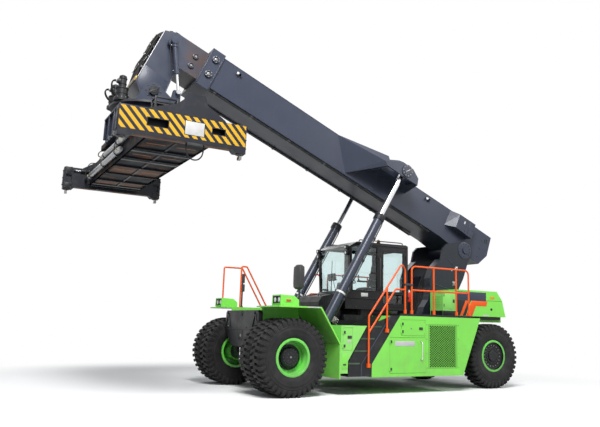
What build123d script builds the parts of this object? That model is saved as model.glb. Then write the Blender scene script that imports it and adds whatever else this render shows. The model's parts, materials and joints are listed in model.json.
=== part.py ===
from build123d import *

import math
import os

os.makedirs("parts", exist_ok=True)

# Container-handling reach stacker, millimetres. +X is the driving direction, +Y the driver's left, +Z up.
# The origin is on the ground under the middle of the whole machine's box.
# Places along the machine are given ahead of the front axle, so that most are negative.

# Wheels and axles
WHEELBASE = 6000.0
TYRE_DIAMETER = 1610.0
TYRE_WIDTH = 500.0
LUG_COUNT = 28
LUG_HEIGHT = 42.0
LUG_LENGTH = 104.0
LUG_INSET = 35.0
RIM_SEAT_DIAMETER = 743.0
RIM_FLANGE_DIAMETER = 790.0
RIM_FLANGE_THICKNESS = 22.0
RIM_WALL = 30.0
RIM_WIDTH = 400.0
TWIN_OUTER_Y = 1805.0
TWIN_INNER_Y = 1240.0
STEER_WHEEL_Y = 1390.0
KINGPIN_Y = 1000.0
AXLE_TUBE_DIAMETER = 360.0
HUB_DIAMETER = 430.0
RUN_GAP = 0.4
PIN_CLEARANCE = 0.05

# Frame
FRAME_HALF_WIDTH = 880.0
FRAME_FRONT_X = 255.0
FRAME_FRONT_BOTTOM_Z = 1150.0
FRAME_TOP_Z = 1600.0
FRAME_MID_X = -2200.0
FRAME_MID_BOTTOM_Z = 700.0
FRAME_WAIST_X = -4930.0
FRAME_CROSS_REAR_X = -5200.0
FRAME_REAR_X = -6470.0
FRAME_BEAM_INNER_Y = 500.0
FRAME_PLATE = 35.0
FRAME_REAR_HALF_WIDTH = 410.0
FRONT_PLATE_THICKNESS = 100.0
FRONT_PLATE_HALF_WIDTH = 960.0
FRONT_PLATE_TOP_Z = 1770.0

# Bodywork
BODY_HALF_WIDTH = 2040.0
SHEET = 40.0
FENDER_TOP_Z = 1860.0
FENDER_SHEET = 30.0
DECK_Z = 1730.0
DECK_THICKNESS = 50.0
DOOR_GAP = 6.0
DOOR_THICKNESS = 40.0

# Boom: s runs along it from the pivot, n square to it
BOOM_PIVOT_X = -5892.0
BOOM_PIVOT_Z = 3588.0
BOOM_REST_ANGLE = 22.85
BOOM_HALF_WIDTH = 505.0
BOOM_BOTTOM_N = 40.0
BOOM_TOP_N = 910.0
BOOM_WALL = 30.0
BOOM_FRONT_S = 8570.0
COLLAR_REAR_S = 8230.0
BOOM_TAIL_S = -895.0
BOOM_TAIL_TOP_N = 884.0
BOOM_PIN_DIAMETER = 180.0
INNER_HALF_WIDTH = 420.0
INNER_BOTTOM_N = 88.0
INNER_TOP_N = 845.0
INNER_WALL = 25.0
INNER_REAR_S = 400.0
HEAD_PIVOT_S = 9263.0
HEAD_PIVOT_N = -766.0
HEAD_FRONT_S = 9695.0
HEAD_PIN_DIAMETER = 160.0

# Lift cylinders
LIFT_Y = 1050.0
LIFT_BASE_X = -1175.0
LIFT_BASE_Z = 1325.0
LIFT_PIN_S = 2914.0
LIFT_PIN_N = 744.0
LIFT_TUBE_DIAMETER = 230.0
LIFT_ROD_DIAMETER = 150.0
LIFT_TUBE_LENGTH = 3310.0
LIFT_EYE_WIDTH = 110.0
LIFT_EYE_DIAMETER = 250.0
LIFT_PIN_DIAMETER = 120.0
LIFT_FOOT_DIAMETER = 250.0

# Tower that carries the boom
TOWER_Y = 650.0
TOWER_THICKNESS = 60.0

# Tilt dampers
DAMPER_Y = 600.0
DAMPER_TOP_S = 9420.0
DAMPER_TOP_N = 510.0
DAMPER_FOOT_AHEAD = -522.0
DAMPER_FOOT_UP = 41.0
DAMPER_TUBE_DIAMETER = 110.0
DAMPER_ROD_DIAMETER = 60.0
DAMPER_TUBE_LENGTH = 790.0
DAMPER_ROD_INNER_END = 480.0

# Rotator and spreader, for 20 to 40 foot boxes
SPREADER_X = 2935.0
SPREADER_WIDTH = 2438.0
SPREADER_LENGTH = 6030.0
SPREADER_TOP_Z = 5232.5
END_BEAM_HEIGHT = 500.0
END_BEAM_DEPTH = 180.0
LOCK_SPACING_Y = 5853.0
LOCK_SPACING_X = 2259.0
LOCK_SHAFT_DIAMETER = 62.0
ROTATOR_RADIUS = 810.0
ROTATOR_TOP_Z = 6280.0

# Counterweight
WEIGHT_HALF_WIDTH = 1500.0
WEIGHT_BOTTOM_Z = 1790.0
WEIGHT_TOP_Z = 2450.0

# Cab
CAB_HALF_WIDTH = 780.0
CAB_REAR_X = -3870.0
CAB_FRONT_X = -2080.0
CAB_FLOOR_Z = 1880.0
CAB_SILL_Z = 2330.0
CAB_ROOF_Z = 3550.0
CAB_WALL = 50.0
CAB_POST_X = -2960.0
GLASS = 12.0

# Worked out from the above
AXLE_Z = TYRE_DIAMETER / 2
SINE = math.sin(math.radians(BOOM_REST_ANGLE))
COSINE = math.cos(math.radians(BOOM_REST_ANGLE))
TAIL_REACH = BOOM_PIVOT_X + BOOM_TAIL_S * COSINE - BOOM_TAIL_TOP_N * SINE
FRONT_AXLE_X = -(TAIL_REACH + SPREADER_X + SPREADER_WIDTH / 2) / 2
REAR_AXLE = -WHEELBASE


def boom_point(s, n):
    """Place ahead of the front axle and height of a point of the boom."""
    return (BOOM_PIVOT_X + s * COSINE - n * SINE, BOOM_PIVOT_Z + s * SINE + n * COSINE)


def side_plane(y):
    """Sketch plane across the machine at y: local x ahead of the front axle, local y up."""
    return Plane(origin=(FRONT_AXLE_X, y, 0), x_dir=(1, 0, 0), z_dir=(0, -1, 0))


def boom_plane(y):
    """Sketch plane across the boom at y: local x along the boom, local y square to it."""
    return Plane(
        origin=(FRONT_AXLE_X + BOOM_PIVOT_X, y, BOOM_PIVOT_Z),
        x_dir=(COSINE, 0, SINE),
        z_dir=(0, -1, 0),
    )


def front_plane(x):
    """Sketch plane facing forward at x: local x to the left, local y up."""
    return Plane(origin=(FRONT_AXLE_X + x, 0, 0), x_dir=(0, 1, 0), z_dir=(1, 0, 0))


def level_plane(z):
    """Level sketch plane at z: local x ahead of the front axle, local y to the left."""
    return Plane(origin=(FRONT_AXLE_X, 0, z), x_dir=(1, 0, 0), z_dir=(0, 0, 1))


def prism(plane, points, length, mode=Mode.ADD):
    """Extrude a closed outline along its plane's normal."""
    with BuildSketch(plane) as outline:
        with BuildLine():
            Polyline(*points, close=True)
        make_face()
    extrude(outline.sketch, amount=length, mode=mode)


def side_prism(points, y_low, y_high, mode=Mode.ADD):
    """Side view outline, between two places across the machine."""
    prism(side_plane(y_high), points, y_high - y_low, mode)


def boom_prism(points, y_low, y_high, mode=Mode.ADD):
    """Boom side view outline, between two places across the machine."""
    prism(boom_plane(y_high), points, y_high - y_low, mode)


def block(low, high, mode=Mode.ADD):
    """Box between two corners."""
    corners = [(low[0], low[1]), (high[0], low[1]), (high[0], high[1]), (low[0], high[1])]
    prism(level_plane(low[2]), corners, high[2] - low[2], mode)


def boom_block(low, high, mode=Mode.ADD):
    """Box along the boom between two corners (s, y, n)."""
    corners = [(low[0], low[2]), (high[0], low[2]), (high[0], high[2]), (low[0], high[2])]
    prism(boom_plane(high[1]), corners, high[1] - low[1], mode)


def round_bar(plane, centre, radius, length, mode=Mode.ADD):
    """Cylinder standing on a plane."""
    with BuildSketch(plane) as section:
        with Locations(centre):
            Circle(radius)
    extrude(section.sketch, amount=length, mode=mode)


def cross_bar(centre, radius, y_low, y_high, mode=Mode.ADD):
    """Cylinder across the machine."""
    round_bar(side_plane(y_high), centre, radius, y_high - y_low, mode)


def boom_cross_bar(centre, radius, y_low, y_high, mode=Mode.ADD):
    """Cylinder across the boom."""
    round_bar(boom_plane(y_high), centre, radius, y_high - y_low, mode)


def bent_tube(points, radius, bend):
    """Round tube along straight runs joined by bends, points as (x, y, z)."""
    route = [(FRONT_AXLE_X + x, y, z) for x, y, z in points]
    with BuildLine(mode=Mode.PRIVATE) as path:
        if bend and len(points) > 2:
            FilletPolyline(*route, radius=bend)
        else:
            Polyline(*route)
    with BuildSketch(Plane(origin=path.line @ 0, z_dir=path.line % 0), mode=Mode.PRIVATE) as section:
        Circle(radius)
    sweep(section.sketch, path=path.wires()[0])


def save(part, name):
    """Label a finished piece and write it."""
    part.label = name
    export_step(part, f"parts/{name}.step")


def save_pair(part, name):
    """Write a left-hand piece and its mirrored right-hand twin."""
    save(part, f"{name}_left")
    save(mirror(part, about=Plane.XZ), f"{name}_right")


# ---------------------------------------------------------------- wheels
def wheel_plane(x):
    """Section plane through a wheel's axle: local x to the left, local y out from the axle."""
    return Plane(origin=(FRONT_AXLE_X + x, 0, AXLE_Z), x_dir=(0, 1, 0), z_dir=(1, 0, 0))


def wheel_axis(x):
    """Axis of the wheels at x."""
    return Axis((FRONT_AXLE_X + x, 0, AXLE_Z), (0, 1, 0))


def turned(x, points):
    """Turn a closed section (y, radius) about the wheels' axle at x."""
    with BuildSketch(wheel_plane(x)) as section:
        with BuildLine():
            Polyline(*points, close=True)
        make_face()
    revolve(section.sketch, axis=wheel_axis(x))


def wheel_ring_plane(x, y):
    """Plane square to a wheel's axle at (x, y)."""
    return Plane(origin=(FRONT_AXLE_X + x, y, AXLE_Z), x_dir=(1, 0, 0), z_dir=(0, 1, 0))


def tyre(x, y):
    """Tyre with bulged walls, one lug on each flat of its tread and flats round its bore."""
    seat = RIM_SEAT_DIAMETER / 2 + RUN_GAP
    foot = RIM_WIDTH / 2 - RIM_FLANGE_THICKNESS - RUN_GAP
    tip = TYRE_DIAMETER / 2
    half = TYRE_WIDTH / 2

    def ring_corners(aside, radius):
        """Corners of a ring of flats at a distance from the tyre's middle."""
        corner_radius = radius / math.cos(math.pi / LUG_COUNT)
        turns = [(2 * step + 1) * math.pi / LUG_COUNT for step in range(LUG_COUNT)]
        return [
            (
                FRONT_AXLE_X + x + corner_radius * math.sin(turn), y + aside,
                AXLE_Z + corner_radius * math.cos(turn),
            ) for turn in turns
        ]

    # Distance from the tyre's middle and radius over the flats, from the wall's widest place outwards
    wall = ((half, 585), (half - 14, tip - 115), (half - LUG_INSET, tip - LUG_HEIGHT))
    ConvexPolyhedron([
        corner for side in (-1, 1) for aside, radius in wall for corner in ring_corners(side * aside, radius)
    ])
    for side in (-1, 1):
        ConvexPolyhedron(
            ring_corners(side * foot, RIM_FLANGE_DIAMETER / 2 + 20) + ring_corners(side * half, 585),
            mode=Mode.SUBTRACT,
        )
    with BuildSketch(wheel_ring_plane(x, y - half + LUG_INSET)) as lugs:
        with PolarLocations(tip - LUG_HEIGHT, LUG_COUNT):
            Rectangle(2 * LUG_HEIGHT, LUG_LENGTH)
    extrude(lugs.sketch, amount=TYRE_WIDTH - 2 * LUG_INSET)
    with BuildSketch(wheel_ring_plane(x, y - half)) as seat_hole:
        RegularPolygon(seat, LUG_COUNT // 2, major_radius=False)
    extrude(seat_hole.sketch, amount=TYRE_WIDTH, mode=Mode.SUBTRACT)


def rim_barrel(x, y):
    """Rim barrel with its two flanges."""
    seat = RIM_SEAT_DIAMETER / 2
    bore = seat - RIM_WALL
    lip = RIM_FLANGE_DIAMETER / 2
    half = RIM_WIDTH / 2
    inner = half - RIM_FLANGE_THICKNESS
    turned(x, [
        (y - half, bore), (y + half, bore), (y + half, lip), (y + inner, lip), (y + inner, seat),
        (y - inner, seat), (y - inner, lip), (y - half, lip),
    ])


SPINDLE_END_Y = 1000.0
with BuildPart() as front_tyres:
    for twin_y in (TWIN_INNER_Y, TWIN_OUTER_Y):
        tyre(0, twin_y)
save_pair(front_tyres.part, "front_tyres")

with BuildPart() as front_rims:
    for twin_y in (TWIN_INNER_Y, TWIN_OUTER_Y):
        rim_barrel(0, twin_y)
    rim_bore = RIM_SEAT_DIAMETER / 2 - RIM_WALL
    hub = HUB_DIAMETER / 2
    web_y = TWIN_OUTER_Y - 60
    turned(0, [
        (SPINDLE_END_Y + RUN_GAP, 0), (TWIN_OUTER_Y + 70, 0), (TWIN_OUTER_Y + 70, hub - 60),
        (TWIN_OUTER_Y + 20, hub), (SPINDLE_END_Y + RUN_GAP, hub),
    ])
    turned(0, [
        (web_y - 20, hub - 10), (web_y + 20, hub - 10), (web_y + 20, rim_bore + 5),
        (web_y - 20, rim_bore + 5),
    ])
    turned(0, [
        (TWIN_INNER_Y + 130, hub - 10), (TWIN_INNER_Y + 170, hub - 10),
        (TWIN_INNER_Y + 170, rim_bore + 5), (TWIN_INNER_Y + 130, rim_bore + 5),
    ])
save_pair(front_rims.part, "front_rims")

with BuildPart() as rear_tyre:
    tyre(REAR_AXLE, STEER_WHEEL_Y)
save_pair(rear_tyre.part, "rear_tyre")

KNUCKLE_END_Y = 1240.0
with BuildPart() as rear_rim:
    rim_barrel(REAR_AXLE, STEER_WHEEL_Y)
    disc_y = STEER_WHEEL_Y + 110
    turned(REAR_AXLE, [
        (KNUCKLE_END_Y + RUN_GAP, 0), (disc_y + 60, 0), (disc_y + 60, 120), (disc_y + 25, 150),
        (disc_y + 25, rim_bore + 5), (disc_y - 15, rim_bore + 5), (disc_y - 15, 160),
        (KNUCKLE_END_Y + RUN_GAP, 160),
    ])
save_pair(rear_rim.part, "rear_rim")

# ---------------------------------------------------------------- axles and knuckles
AXLE_PAD_TOP_Z = 1010.0
AXLE_PAD_Y = 600.0
with BuildPart() as front_axle:
    cross_bar((0, AXLE_Z), AXLE_TUBE_DIAMETER / 2, -SPINDLE_END_Y, SPINDLE_END_Y)
    round_bar(front_plane(-300), (0, AXLE_Z), 330, 535)
    for pad_y in (-AXLE_PAD_Y, AXLE_PAD_Y):
        block((-220, pad_y - 110, AXLE_Z), (220, pad_y + 110, AXLE_PAD_TOP_Z))
save(front_axle.part, "front_axle")

STEER_BEAM_LOW_Z = 640.0
STEER_BEAM_HIGH_Z = 970.0
STEER_BEAM_END_Y = 820.0
FORK_LOW_Z = 560.0
FORK_HIGH_Z = 1050.0
FORK_PLATE = 60.0
TRUNNION_HALF_LENGTH = 380.0
with BuildPart() as rear_axle:
    block(
        (REAR_AXLE - 230, -STEER_BEAM_END_Y, STEER_BEAM_LOW_Z),
        (REAR_AXLE + 230, STEER_BEAM_END_Y, STEER_BEAM_HIGH_Z),
    )
    for side in (-1, 1):
        for low in (FORK_LOW_Z, FORK_HIGH_Z - FORK_PLATE):
            near, far = sorted((side * 700, side * KINGPIN_Y))
            block((REAR_AXLE - 110, near, low), (REAR_AXLE + 110, far, low + FORK_PLATE))
            round_bar(level_plane(low), (REAR_AXLE, side * KINGPIN_Y), 110, FORK_PLATE)
        near, far = sorted((side * 700, side * STEER_BEAM_END_Y))
        block((REAR_AXLE - 110, near, FORK_LOW_Z), (REAR_AXLE + 110, far, FORK_HIGH_Z))
    round_bar(front_plane(REAR_AXLE - TRUNNION_HALF_LENGTH), (0, AXLE_Z), 120, 2 * TRUNNION_HALF_LENGTH)
    round_bar(side_plane(550), (REAR_AXLE - 295, AXLE_Z), 70, 1100)
    for side in (-1, 1):
        block(
            (REAR_AXLE - 340, side * 300 - 40, AXLE_Z - 60),
            (REAR_AXLE - 200, side * 300 + 40, AXLE_Z + 60),
        )
save(rear_axle.part, "rear_axle")

with BuildPart() as steer_knuckle:
    post_low = FORK_LOW_Z + FORK_PLATE + RUN_GAP
    post_high = FORK_HIGH_Z - FORK_PLATE - RUN_GAP
    round_bar(level_plane(post_low), (REAR_AXLE, KINGPIN_Y), 100, post_high - post_low)
    cross_bar((REAR_AXLE, AXLE_Z), 120, KINGPIN_Y, KNUCKLE_END_Y)
save_pair(steer_knuckle.part, "steer_knuckle")

# ---------------------------------------------------------------- main frame
BRACKET_OUTER_Y = LIFT_Y + 120
EAR_Y = 790.0
EAR_Z = 1690.0
EAR_HOLE_DIAMETER = 70.0
with BuildPart() as main_frame:
    for side in (-1, 1):
        near, far = sorted((side * FRAME_BEAM_INNER_Y, side * FRAME_HALF_WIDTH))
        side_prism(
            [
                (FRAME_FRONT_X, FRAME_FRONT_BOTTOM_Z), (FRAME_FRONT_X, FRAME_TOP_Z + 80),
                (-900, FRAME_TOP_Z),
                (FRAME_WAIST_X, FRAME_TOP_Z), (FRAME_WAIST_X, FRAME_MID_BOTTOM_Z),
                (FRAME_MID_X, FRAME_MID_BOTTOM_Z), (-1300, FRAME_FRONT_BOTTOM_Z),
            ],
            near, far,
        )
        side_prism(
            [
                (FRAME_FRONT_X - 35, FRAME_FRONT_BOTTOM_Z + 35), (FRAME_FRONT_X - 35, FRAME_TOP_Z + 40),
                (-900, FRAME_TOP_Z - 35), (FRAME_WAIST_X + 35, FRAME_TOP_Z - 35),
                (FRAME_WAIST_X + 35, FRAME_MID_BOTTOM_Z + 35), (FRAME_MID_X + 15, FRAME_MID_BOTTOM_Z + 35),
                (-1285, FRAME_FRONT_BOTTOM_Z + 35),
            ],
            near + FRAME_PLATE, far - FRAME_PLATE, Mode.SUBTRACT,
        )
    # Cross members
    for rear, front, low, high in (
        (FRAME_CROSS_REAR_X, -4850, 1180, FRAME_TOP_Z), (-3500, -3350, 720, 1560),
        (-1900, -1700, 1000, 1560),
    ):
        block((rear, -FRAME_BEAM_INNER_Y - 5, low), (front, FRAME_BEAM_INNER_Y + 5, high))
    block(
        (FRAME_REAR_X, -FRAME_REAR_HALF_WIDTH, 1180),
        (FRAME_CROSS_REAR_X, FRAME_REAR_HALF_WIDTH, WEIGHT_BOTTOM_Z - 140),
    )
    # Saddles on the drive axle's pads
    for pad_y in (-AXLE_PAD_Y, AXLE_PAD_Y):
        block((-220, pad_y - 110, AXLE_PAD_TOP_Z), (220, pad_y + 110, FRAME_FRONT_BOTTOM_Z + 5))
    # Hangers that hold the steering axle's trunnion
    for end in (-1, 1):
        face = REAR_AXLE + end * TRUNNION_HALF_LENGTH
        low, high = sorted((face, face + end * 90))
        block((low, -220, 620), (high, 220, 1185))
    # Front plate with its two ears
    prism(
        front_plane(FRAME_FRONT_X),
        [
            (-FRONT_PLATE_HALF_WIDTH, FRONT_PLATE_TOP_Z - 60),
            (-FRONT_PLATE_HALF_WIDTH + 60, FRONT_PLATE_TOP_Z),
            (FRONT_PLATE_HALF_WIDTH - 60, FRONT_PLATE_TOP_Z),
            (FRONT_PLATE_HALF_WIDTH, FRONT_PLATE_TOP_Z - 60),
            (FRONT_PLATE_HALF_WIDTH, 1330), (560, 950), (-560, 950), (-FRONT_PLATE_HALF_WIDTH, 1330),
        ],
        FRONT_PLATE_THICKNESS,
    )
    for ear_y in (-EAR_Y, EAR_Y):
        ear_plane = front_plane(FRAME_FRONT_X - 1)
        round_bar(
            ear_plane, (ear_y, EAR_Z), EAR_HOLE_DIAMETER / 2, FRONT_PLATE_THICKNESS + 2, Mode.SUBTRACT,
        )
    # Lift cylinder feet
    for side in (-1, 1):
        for inner, outer in ((FRAME_HALF_WIDTH - 20, LIFT_Y - 80), (BRACKET_OUTER_Y - 40, BRACKET_OUTER_Y)):
            near, far = sorted((side * inner, side * outer))
            side_prism(
                [
                    (LIFT_BASE_X - 150, LIFT_BASE_Z - 240), (LIFT_BASE_X + 150, LIFT_BASE_Z - 240),
                    (LIFT_BASE_X + 85, LIFT_BASE_Z + 90), (LIFT_BASE_X - 85, LIFT_BASE_Z + 90),
                ],
                near, far,
            )
        near, far = sorted((side * (FRAME_HALF_WIDTH - 20), side * BRACKET_OUTER_Y))
        block((LIFT_BASE_X - 150, near, LIFT_BASE_Z - 240), (LIFT_BASE_X + 150, far, LIFT_BASE_Z - 180))
        cross_bar((LIFT_BASE_X, LIFT_BASE_Z), LIFT_PIN_DIAMETER / 2, near, far)
save(main_frame.part, "main_frame")

# ---------------------------------------------------------------- tower
TOWER_BASE_Z = FRAME_TOP_Z
TOWER_FLANGE_WIDTH = 250.0
TOWER_FLANGE = 30.0
TOWER_FRONT = [
    (-4330, TOWER_BASE_Z), (-4469, 2001), (-4603, 2186), (-4689, 2503), (-4674, 2764), (-4778, 3035),
    (-5055, 3294),
]
with BuildPart() as tower:
    for side in (-1, 1):
        near, far = sorted((side * (TOWER_Y - TOWER_THICKNESS / 2), side * (TOWER_Y + TOWER_THICKNESS / 2)))
        side_prism(
            TOWER_FRONT + [
                (-5130, 3600), (-5250, 3720), (BOOM_PIVOT_X, BOOM_PIVOT_Z + 250),
                (BOOM_PIVOT_X - 240, BOOM_PIVOT_Z + 150),
                (BOOM_PIVOT_X - 290, BOOM_PIVOT_Z - 50), (-6014, 3279), (-5841, 2829), (-5637, 2468),
                (-5300, TOWER_BASE_Z),
            ],
            near, far,
        )
        # Flange along the front edge, turned inwards
        inner = TOWER_Y + TOWER_THICKNESS / 2 - TOWER_FLANGE_WIDTH
        near, far = sorted((side * inner, side * (TOWER_Y + TOWER_THICKNESS / 2)))
        flange_back = [(x - TOWER_FLANGE, max(z - 3, TOWER_BASE_Z)) for x, z in reversed(TOWER_FRONT)]
        side_prism(TOWER_FRONT + flange_back, near, far)
        near, far = sorted((side * (TOWER_Y - TOWER_THICKNESS / 2), side * (TOWER_Y + TOWER_THICKNESS / 2)))
        cross_bar((BOOM_PIVOT_X, BOOM_PIVOT_Z), 250, near, far)
        cross_bar(
            (BOOM_PIVOT_X, BOOM_PIVOT_Z), BOOM_PIN_DIAMETER / 2 + PIN_CLEARANCE, near, far,
            Mode.SUBTRACT,
        )
    block((-5195, -TOWER_Y, TOWER_BASE_Z), (-4350, TOWER_Y, TOWER_BASE_Z + 60))
    block((-5350, -TOWER_Y, 2600), (-5310, TOWER_Y, 2900))
save(tower.part, "tower")

# ---------------------------------------------------------------- outer boom
COLLAR_HALF_WIDTH = BOOM_HALF_WIDTH + 45
FLARE_Y = 735.0
LIFT_COLLAR_DIAMETER = LIFT_TUBE_DIAMETER + 50
WING_SLOT_INNER_Y = LIFT_Y - LIFT_COLLAR_DIAMETER / 2 - 8
WING_SLOT_OUTER_Y = LIFT_Y + LIFT_COLLAR_DIAMETER / 2 + 8
CHEEK_Y = WING_SLOT_OUTER_Y + 50


def boom_corner(s, y, n):
    """Corner of a boom solid in the machine's own frame."""
    x, z = boom_point(s, n)
    return (FRONT_AXLE_X + x, y, z)


COVER_RADIUS = 92.0
with BuildPart() as outer_boom:
    boom_prism(
        [
            (BOOM_FRONT_S, BOOM_BOTTOM_N), (BOOM_FRONT_S, BOOM_TOP_N), (637, BOOM_TOP_N),
            (BOOM_TAIL_S, BOOM_TAIL_TOP_N),
            (-936, 322), (-729, -37), (120, -37), (807, BOOM_BOTTOM_N),
        ],
        -BOOM_HALF_WIDTH, BOOM_HALF_WIDTH,
    )
    boom_block((COLLAR_REAR_S, -COLLAR_HALF_WIDTH, -50), (BOOM_FRONT_S, COLLAR_HALF_WIDTH, 955))
    collar_s = (COLLAR_REAR_S + BOOM_FRONT_S) / 2
    for cover_n in (292, 714):
        boom_cross_bar((collar_s, cover_n), COVER_RADIUS, -COLLAR_HALF_WIDTH - 30, COLLAR_HALF_WIDTH + 30)
    for lug_y in (-300, 300):
        boom_prism(
            [
                (collar_s - 120, 950), (collar_s + 120, 950), (collar_s + 60, 1040),
                (collar_s - 60, 1040),
            ],
            lug_y - 20, lug_y + 20,
        )
    boom_block(
        (INNER_REAR_S - 400, -BOOM_HALF_WIDTH + BOOM_WALL, BOOM_BOTTOM_N + BOOM_WALL),
        (BOOM_FRONT_S + 10, BOOM_HALF_WIDTH - BOOM_WALL, BOOM_TOP_N - BOOM_WALL),
        Mode.SUBTRACT,
    )
    for side in (-1, 1):
        # Flared plates over the tower's top
        ConvexPolyhedron([
            boom_corner(s, side * y, n)
            for s, y, n in (
                (800, 480, 420), (760, 480, BOOM_TOP_N - 5), (-60, 480, BOOM_TOP_N - 25), (-60, 480, 400),
                (560, FLARE_Y, 430), (540, FLARE_Y, 840), (-60, FLARE_Y, 840), (-60, FLARE_Y, 400),
            )
        ])
        # Wings that carry the lift cylinders' rod ends
        ConvexPolyhedron([
            boom_corner(s, side * y, n)
            for s, y, n in (
                (4810, 480, BOOM_TOP_N), (4088, 480, 608), (4205, 480, 82), (3610, CHEEK_Y, 640),
                (3500, CHEEK_Y, 560),
                (3100, CHEEK_Y, 900), (3100, 480, BOOM_TOP_N), (3480, 480, 560),
            )
        ])
        ConvexPolyhedron([
            boom_corner(s, side * y, n)
            for s, y, n in (
                (3610, CHEEK_Y, 640), (3100, CHEEK_Y, 900), (2760, CHEEK_Y, 890), (2520, CHEEK_Y, 740),
                (2480, CHEEK_Y, 560), (3500, CHEEK_Y, 560),
                (3560, 480, 640), (3100, 480, 900), (2400, 480, 900), (2300, 480, 560), (3450, 480, 560),
            )
        ])
        near, far = sorted((side * WING_SLOT_INNER_Y, side * WING_SLOT_OUTER_Y))
        boom_block((2600, near, -200), (3480, far, 1300), Mode.SUBTRACT)
        boom_cross_bar(
            (LIFT_PIN_S, LIFT_PIN_N), 165, *sorted((side * WING_SLOT_OUTER_Y, side * (CHEEK_Y + 15))),
        )
    # Boss and pin at the pivot
    boom_cross_bar(
        (0, 0), 230, -TOWER_Y + TOWER_THICKNESS / 2 + RUN_GAP, TOWER_Y - TOWER_THICKNESS / 2 - RUN_GAP,
    )
    boom_cross_bar((0, 0), BOOM_PIN_DIAMETER / 2, -FLARE_Y, FLARE_Y)
save(outer_boom.part, "outer_boom")

# ---------------------------------------------------------------- pads in the outer boom's collar
with BuildPart() as wear_pads:
    for side in (-1, 1):
        near, far = sorted((side * 90, side * 400))
        boom_block((8270, near, BOOM_BOTTOM_N + BOOM_WALL), (8560, far, INNER_BOTTOM_N - RUN_GAP))
        boom_block((8270, near, INNER_TOP_N + RUN_GAP), (8560, far, BOOM_TOP_N - BOOM_WALL))
        near, far = sorted((side * (INNER_HALF_WIDTH + RUN_GAP), side * (BOOM_HALF_WIDTH - BOOM_WALL)))
        boom_block((8270, near, 160), (8560, far, 760))
save(wear_pads.part, "wear_pads")

# ---------------------------------------------------------------- inner boom with its head
HEAD_WALL = 60.0
with BuildPart() as inner_boom:
    boom_prism(
        [
            (INNER_REAR_S, INNER_BOTTOM_N), (INNER_REAR_S, INNER_TOP_N), (9449, INNER_TOP_N - 25),
            (9697, 702),
            (HEAD_FRONT_S, -740), (9460, -960), (9130, -960), (9007, -639), (9050, -143),
            (9005, INNER_BOTTOM_N),
        ],
        -INNER_HALF_WIDTH, INNER_HALF_WIDTH,
    )
    boom_block(
        (INNER_REAR_S - 10, -INNER_HALF_WIDTH + INNER_WALL, INNER_BOTTOM_N + INNER_WALL),
        (8950, INNER_HALF_WIDTH - INNER_WALL, INNER_TOP_N - INNER_WALL),
        Mode.SUBTRACT,
    )
    # Box section head
    head_half = INNER_HALF_WIDTH - HEAD_WALL
    boom_block((9090, -head_half, -480), (9390, head_half, INNER_TOP_N - 80), Mode.SUBTRACT)
    boom_block((9460, -head_half, -480), (9610, head_half, 560), Mode.SUBTRACT)
    for cover_n in (300, 560):
        boom_cross_bar((8820, cover_n), 75, -INNER_HALF_WIDTH - 22, INNER_HALF_WIDTH + 22)
    # Rear pads that slide under the outer boom's roof and along its floor
    boom_block(
        (INNER_REAR_S + 30, -300, INNER_TOP_N - 5),
        (INNER_REAR_S + 430, 300, BOOM_TOP_N - BOOM_WALL - RUN_GAP),
    )
    boom_block(
        (INNER_REAR_S + 30, -300, BOOM_BOTTOM_N + BOOM_WALL + RUN_GAP),
        (INNER_REAR_S + 430, 300, INNER_BOTTOM_N + 5),
    )
    boom_cross_bar((HEAD_PIVOT_S, HEAD_PIVOT_N), 230, -INNER_HALF_WIDTH - 12, INNER_HALF_WIDTH + 12)
    boom_cross_bar((HEAD_PIVOT_S, HEAD_PIVOT_N), HEAD_PIN_DIAMETER / 2, -530, 530)
    boom_cross_bar((DAMPER_TOP_S, DAMPER_TOP_N), 110, -DAMPER_Y + 60, DAMPER_Y - 60)
    boom_cross_bar((DAMPER_TOP_S, DAMPER_TOP_N), 40, -DAMPER_Y - 60, DAMPER_Y + 60)
save(inner_boom.part, "inner_boom")

# ---------------------------------------------------------------- lift cylinders
pin_x, pin_z = boom_point(LIFT_PIN_S, LIFT_PIN_N)
LIFT_LENGTH = math.hypot(pin_x - LIFT_BASE_X, pin_z - LIFT_BASE_Z)
lift_along = ((pin_x - LIFT_BASE_X) / LIFT_LENGTH, 0, (pin_z - LIFT_BASE_Z) / LIFT_LENGTH)


def along_plane(base_x, y, base_z, along, distance):
    """Plane square to a cylinder, at a distance from its foot."""
    origin = (FRONT_AXLE_X + base_x + along[0] * distance, y, base_z + along[2] * distance)
    return Plane(origin=origin, x_dir=(0, 1, 0), z_dir=along)


def lift_plane(distance):
    return along_plane(LIFT_BASE_X, LIFT_Y, LIFT_BASE_Z, lift_along, distance)


TUBE_BORE = LIFT_ROD_DIAMETER / 2 + 10
ROD_INNER_END = 1360.0
with BuildPart() as lift_tube:
    cross_bar((LIFT_BASE_X, LIFT_BASE_Z), LIFT_FOOT_DIAMETER / 2, LIFT_Y - 60, LIFT_Y + 60)
    round_bar(lift_plane(80), (0, 0), 58, 130)
    round_bar(lift_plane(190), (0, 0), LIFT_TUBE_DIAMETER / 2, LIFT_TUBE_LENGTH - 190)
    round_bar(lift_plane(LIFT_TUBE_LENGTH - 150), (0, 0), LIFT_COLLAR_DIAMETER / 2, 150)
    round_bar(lift_plane(212), (0, 0), TUBE_BORE, LIFT_TUBE_LENGTH, Mode.SUBTRACT)
    cross_bar(
        (LIFT_BASE_X, LIFT_BASE_Z), LIFT_PIN_DIAMETER / 2 + PIN_CLEARANCE, LIFT_Y - 61, LIFT_Y + 61,
        Mode.SUBTRACT,
    )
    round_bar(lift_plane(LIFT_TUBE_LENGTH - 60), (0, 0), TUBE_BORE + 1, 60)
    round_bar(
        lift_plane(LIFT_TUBE_LENGTH - 70), (0, 0), LIFT_ROD_DIAMETER / 2 + PIN_CLEARANCE, 80,
        Mode.SUBTRACT,
    )
save_pair(lift_tube.part, "lift_tube")

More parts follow.
